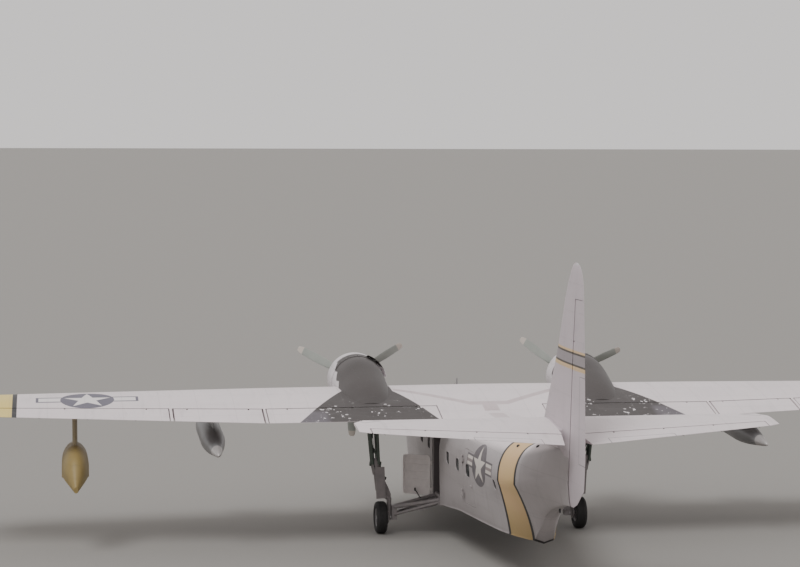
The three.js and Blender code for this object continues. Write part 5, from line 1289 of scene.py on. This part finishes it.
def build_main_gear():
    for name, side in SIDES:
        wheel(f"main_wheel_{name}", f"main_wheel_{name}", (WHEEL_S, side * WHEEL_Y, WHEEL_RADIUS),
              WHEEL_RADIUS,
              WHEEL_WIDTH, AXLE_BORE, f"wheel_{name}")
        green, pale, bright, lines, plates = [Shape(side) for _ in range(5)]
        # rows: shape, radius or radii, sides, and places from the axle's station
        rows = [(green, radius, sides, [(off, *low), (off, *high)]) for off in (-0.09, 0.09)
                for low, high, radius, sides in (
                    ((2.84, 3.15), (2.77, 1.86), 0.04, 16), ((3.06, 3.2), (2.93, 1.86), 0.045, 16),
                    ((2.85, 2.95), (3.0, 2.45), 0.022, 10), ((3.0, 2.45), (2.8, 2.05), 0.022, 10))]
        rows += [(green, 0.03, 12, [(-0.1, y, z), (0.1, y, z)]) for y, z in ((2.85, 2.95), (3.0, 2.45),
                                                                             (2.8, 2.05))]
        rows += [
            (green, 0.075, 20, [(0, 2.7, 1.84), (0, 3.0, 1.88)]),
            (pale, (0.1, 0.125, 0.12, 0.1, 0.098), 28,
             [(0, 2.9, 1.98), (0, 2.865, 1.9), (0, 2.8, 1.6), (0, 2.795, 1.58), (0, 2.745, 1.16)]),
            (pale, (0.075, 0.07, 0.066, 0.055), 24,
             [(0, 2.76, 1.12), (0, 2.62, 1.02), (0, 2.48, 0.93), (0, 2.48, 0.355)]),
            (pale, 0.025, 10, [(0.02, 2.79, 1.6), (0.14, 2.8, 1.62)]),
            (pale, 0.025, 10, [(0.02, 2.76, 1.2), (0.14, 2.77, 1.2)]),
            (bright, 0.047, 28, [(0, 2.42, WHEEL_RADIUS), (0, 2.815, WHEEL_RADIUS)]),
            (bright, 0.06, 28, [(0, 2.748, 1.18), (0, 2.738, 1.08)]),
            (lines, 0.011, 8,
             [(-0.12, 2.87, 2.9), (-0.14, 2.82, 1.9), (-0.13, 2.74, 1.2), (-0.09, 2.49, 0.9),
              (-0.07, 2.48, 0.5)]),
            (lines, 0.009, 8, [(0.09, 2.93, 2.6), (0.13, 2.9, 1.85), (0.1, 2.72, 1.1)]),
            (lines, 0.045, 12, [(0.1, 2.72, 1.53), (0.1, 2.58, 1.47)]),
        ]
        for shape, radius, sides, path in rows:
            shape.pipe([(WHEEL_S + off, y, z) for off, y, z in path], radius, sides)
        pale.slab((WHEEL_S + 0.14, 2.73, 1.36), ((0, 1, -0.05), AFT, (0, 0.05, 1)),
                  (-0.125, -0.012, -0.41), (0.125, 0.012, 0.43))
        web = [(2.70, 1.47), (2.60, 1.42), (2.50, 1.22), (2.43, 1.04), (2.44, 0.86), (2.56, 0.9), (2.70, 1.0)]
        pale.loft([[(station, y, z) for y, z in web] for station in (WHEEL_S - 0.02, WHEEL_S + 0.02)])
        pale.turned([(AXLE_BORE, -0.03), (0.16, -0.03), (0.16, 0.008), (AXLE_BORE, 0.008)],
                    (WHEEL_S, 2.525, WHEEL_RADIUS), OUT, 40)
        for low, high, end in ((7.84, 8.0, 2.2), (8.1, 8.26, 2.0), (8.36, 8.5, 1.75)):
            half, wide = (end - 1.28) / 2, (high - low) / 2
            plates.slab(((low + high) / 2 - 0.1, (1.28 + end) / 2, 0.74), ((0, 1, -0.3), AFT, (0, 0.3, 1)),
                        (-half, -wide, -0.012), (half, wide, 0.012))
        part(green, f"gear_links_{name}", "root", gear_green, f"gear_leg_{name}")
        part(pale, f"gear_strut_{name}", "root", gear_light)
        part(bright, f"gear_axle_{name}", "root", bright_metal)
        part(lines, f"gear_pipes_{name}", "root", dark_metal)
        part(plates, f"gear_plates_{name}", "root", gear_light)


def build_nose_gear():
    for name, side in SIDES:
        wheel(f"nose_wheel_{name}", "nose_wheels", (NOSE_WHEEL_S, side * NOSE_WHEEL_Y, NOSE_RADIUS),
              NOSE_RADIUS,
              NOSE_WIDTH, NOSE_BORE, f"nose_wheel_{name}")
    steering, fixed = Shape(), Shape()
    steering.pipe([(2.78, 0, 0.86), (2.93, 0, 0.8), (2.8, 0, 0.62)], 0.024, 12)
    steering.turned([(0.095, 0), (0.108, 0), (0.108, 0.05), (0.095, 0.05)], (NOSE_WHEEL_S, 0, 0.93), UP, 32)
    part(steering, "nose_torque_link", "nose_steering", gear_green)
    fixed.turned([(0.09, 0), (0.125, 0), (0.125, 0.06), (0.09, 0.06)], (NOSE_WHEEL_S, 0, 1.06), UP, 32)
    for _ in each_side(fixed):
        fixed.pipe([(NOSE_WHEEL_S, 0.11, 1.09), (2.4, 0.2, 1.28)], 0.022, 10)
    part(fixed, "nose_leg_collar", "root", gear_green)


# Cockpit and cabin
SEAT_Y = 0.46


def build_inside():
    dials, controls, cloth, straps, benches, tubes = [Shape() for _ in range(6)]
    for _, side in each_side(dials, controls, cloth, straps, benches, tubes):
        for z in (2.38, 2.22):
            for y in (0.25, 0.42, 0.59):
                dials.disc(0.06, 0, 0.012, (2.2, y, z), sides=24)
        controls.pipe([(2.35, SEAT_Y, 1.32), (2.5, SEAT_Y, 1.75), (2.62, SEAT_Y, 2.08)], 0.022, 12)
        turns = np.linspace(-2.3 * side, 2.3 * side, 20)
        controls.pipe([(2.64, SEAT_Y + 0.16 * math.sin(a), 2.1 - 0.12 * math.cos(a)) for a in turns], 0.014,
                      10)
        controls.pipe([(2.64, SEAT_Y - 0.16, 2.1), (2.64, SEAT_Y + 0.16, 2.1)], 0.014, 10)
        for y in (SEAT_Y - 0.12, SEAT_Y + 0.12):
            controls.slab((2.28, y, 1.42), (OUT, (-0.5, 0, 0.87), (0.87, 0, 0.5)), (-0.045, -0.07, -0.008),
                          (0.045, 0.07, 0.008))
            controls.pipe([(2.24, y, 1.4), (2.2, y, 1.7)], 0.012, 8)
        for low, high, base, top in ((2.99, 3.42, 2.07, 2.15), (3.28, 3.42, 2.16, 2.78)):
            pad = rounded((high - low) / 2, 0.2, 0.35, 28)
            cloth.loft([[((low + high) / 2 + a * k, SEAT_Y + b * k, z) for a, b in pad]
                        for k, z in ((0.94, base), (1, base + 0.02), (1, top - 0.03), (0.92, top))])
        for off in (-0.11, 0.11):
            straps.pipe([(3.26, SEAT_Y + off, 2.75), (3.26, SEAT_Y + off, 2.25), (3.15, SEAT_Y + off * 0.5,
                                                                                  2.165)],
                        0.012, 8)
        for low, high in ((4.1, 7.4), (8.95, 10.6)):
            reach = on_hull((low + high) / 2, 1.8, HULL_SKIN).y - 0.06
            benches.box((low, reach - 0.42, 1.74), (high, reach, 1.765))
            for station in np.linspace(low + 0.08, high - 0.08, 5):
                tubes.pipe([(station, reach - 0.4, 1.327), (station, reach - 0.4, 1.745)], 0.014, 10)
            tubes.pipe([(low, reach - 0.42, 1.752), (high, reach - 0.42, 1.752)], 0.018, 10)
    for y in (-0.0675, -0.0225, 0.0225, 0.0675):
        controls.pipe([(2.5, y, 2.99), (2.55, y, 2.86)], 0.008, 8)
        controls.turned([(0, -0.02), (0.016, -0.014), (0.02, 0), (0.016, 0.014), (0, 0.02)], (2.55, y, 2.85),
                        UP, 14)
    controls.box((2.4, -0.13, 2.975), (2.66, 0.13, 3.03))
    part(dials, "dials", "root", dial_white)
    part(controls, "yokes_pedals_and_levers", "root", dark_metal)
    part(cloth, "seat_cushions", "root", seat_cloth, slot="seat_cloth")
    part(straps, "seat_straps", "root", board)
    part(benches, "bench_seats", "root", seat_cloth, slot="seat_cloth")
    part(tubes, "bench_frames", "root", bright_metal)


# Lights, probes and wicks at the tips
def build_tips():
    for name, side in SIDES:
        lens = Shape(side).turned([(0, -0.09), (0.022, -0.075), (0.034, -0.03), (0.036, 0.02), (0.026, 0.07),
                                   (0, 0.09)], (7.95, 14.685, 3.545), -AFT, 20)
        part(lens, f"tip_light_{name}", "root", red_glass if side > 0 else green_glass)
        for kind, section_at, ys, length, drop in (
                ("aileron", wing_section, (9.2, 10.4, 11.6, 12.8, 13.6), 0.13, 0.01),
                ("elevator", tail_section, (2.4, 3.3, 4.2), 0.12, 0.008)):
            wicks = Shape(side)
            for section in [section_at(y) for y in ys]:
                start = section.point(section.chord - 0.01)
                wicks.pipe([start, start + AFT * length - UP * drop], (0.006, 0.002), 6)
            part(wicks, f"{kind}_wicks_{name}", f"{kind}_{name}", dark_metal)
        lamp = Shape(side).turned([(0, 0.0), (0.05, 0.012), (0.085, 0.05), (0.09, 0.08), (0, 0.1)],
                                  wing_section(9.7).point(-0.004), sides=28)
        part(lamp, f"landing_light_{name}", "root", clear_glass)
    start = wing_section(12.6).point(0.02)
    path = [start, start - AFT * 0.18 - UP * 0.12, start - AFT * 0.5 - UP * 0.13]
    part(Shape().pipe(path, (0.02, 0.016, 0.011), 12), "pitot_tube", "root", frame_grey)
    tail_lamp = Shape().turned([(0, 0.035), (0.02, 0.03), (0.03, 0.0), (0, -0.02)], (18.3, 0, 7.845), UP, 16)
    part(tail_lamp, "fin_lamp", "root", clear_glass)


NODE_FINISH = {
    "gear_paint": gear_green, "window_glass": glass, "panel_black": panel_black, "seat_cloth": dark_metal,
    "floor_board": board,
}


def dress_nodes():
    """The frame's own nodes that stay in sight get their materials."""
    for name, node in frame["nodes"].items():
        if not node.hide_render:
            node.data.materials.clear()
            finish = NODE_FINISH.get(SLOTS.get(name), hull_grey)
            node.data.materials.append(gear_light if name.startswith("gear_frame") else finish)
            node.data.shade_smooth()
            node.data.set_sharp_from_angle(angle=math.radians(38))


build_stage()
build_wing()
build_tail()
build_hull()
build_engines()
build_stores()
build_windows()
build_windshield()
build_door()
build_hull_trim()
build_wells()
build_well_doors()
build_power_details()
build_main_gear()
build_nose_gear()
build_inside()
build_tips()
dress_nodes()
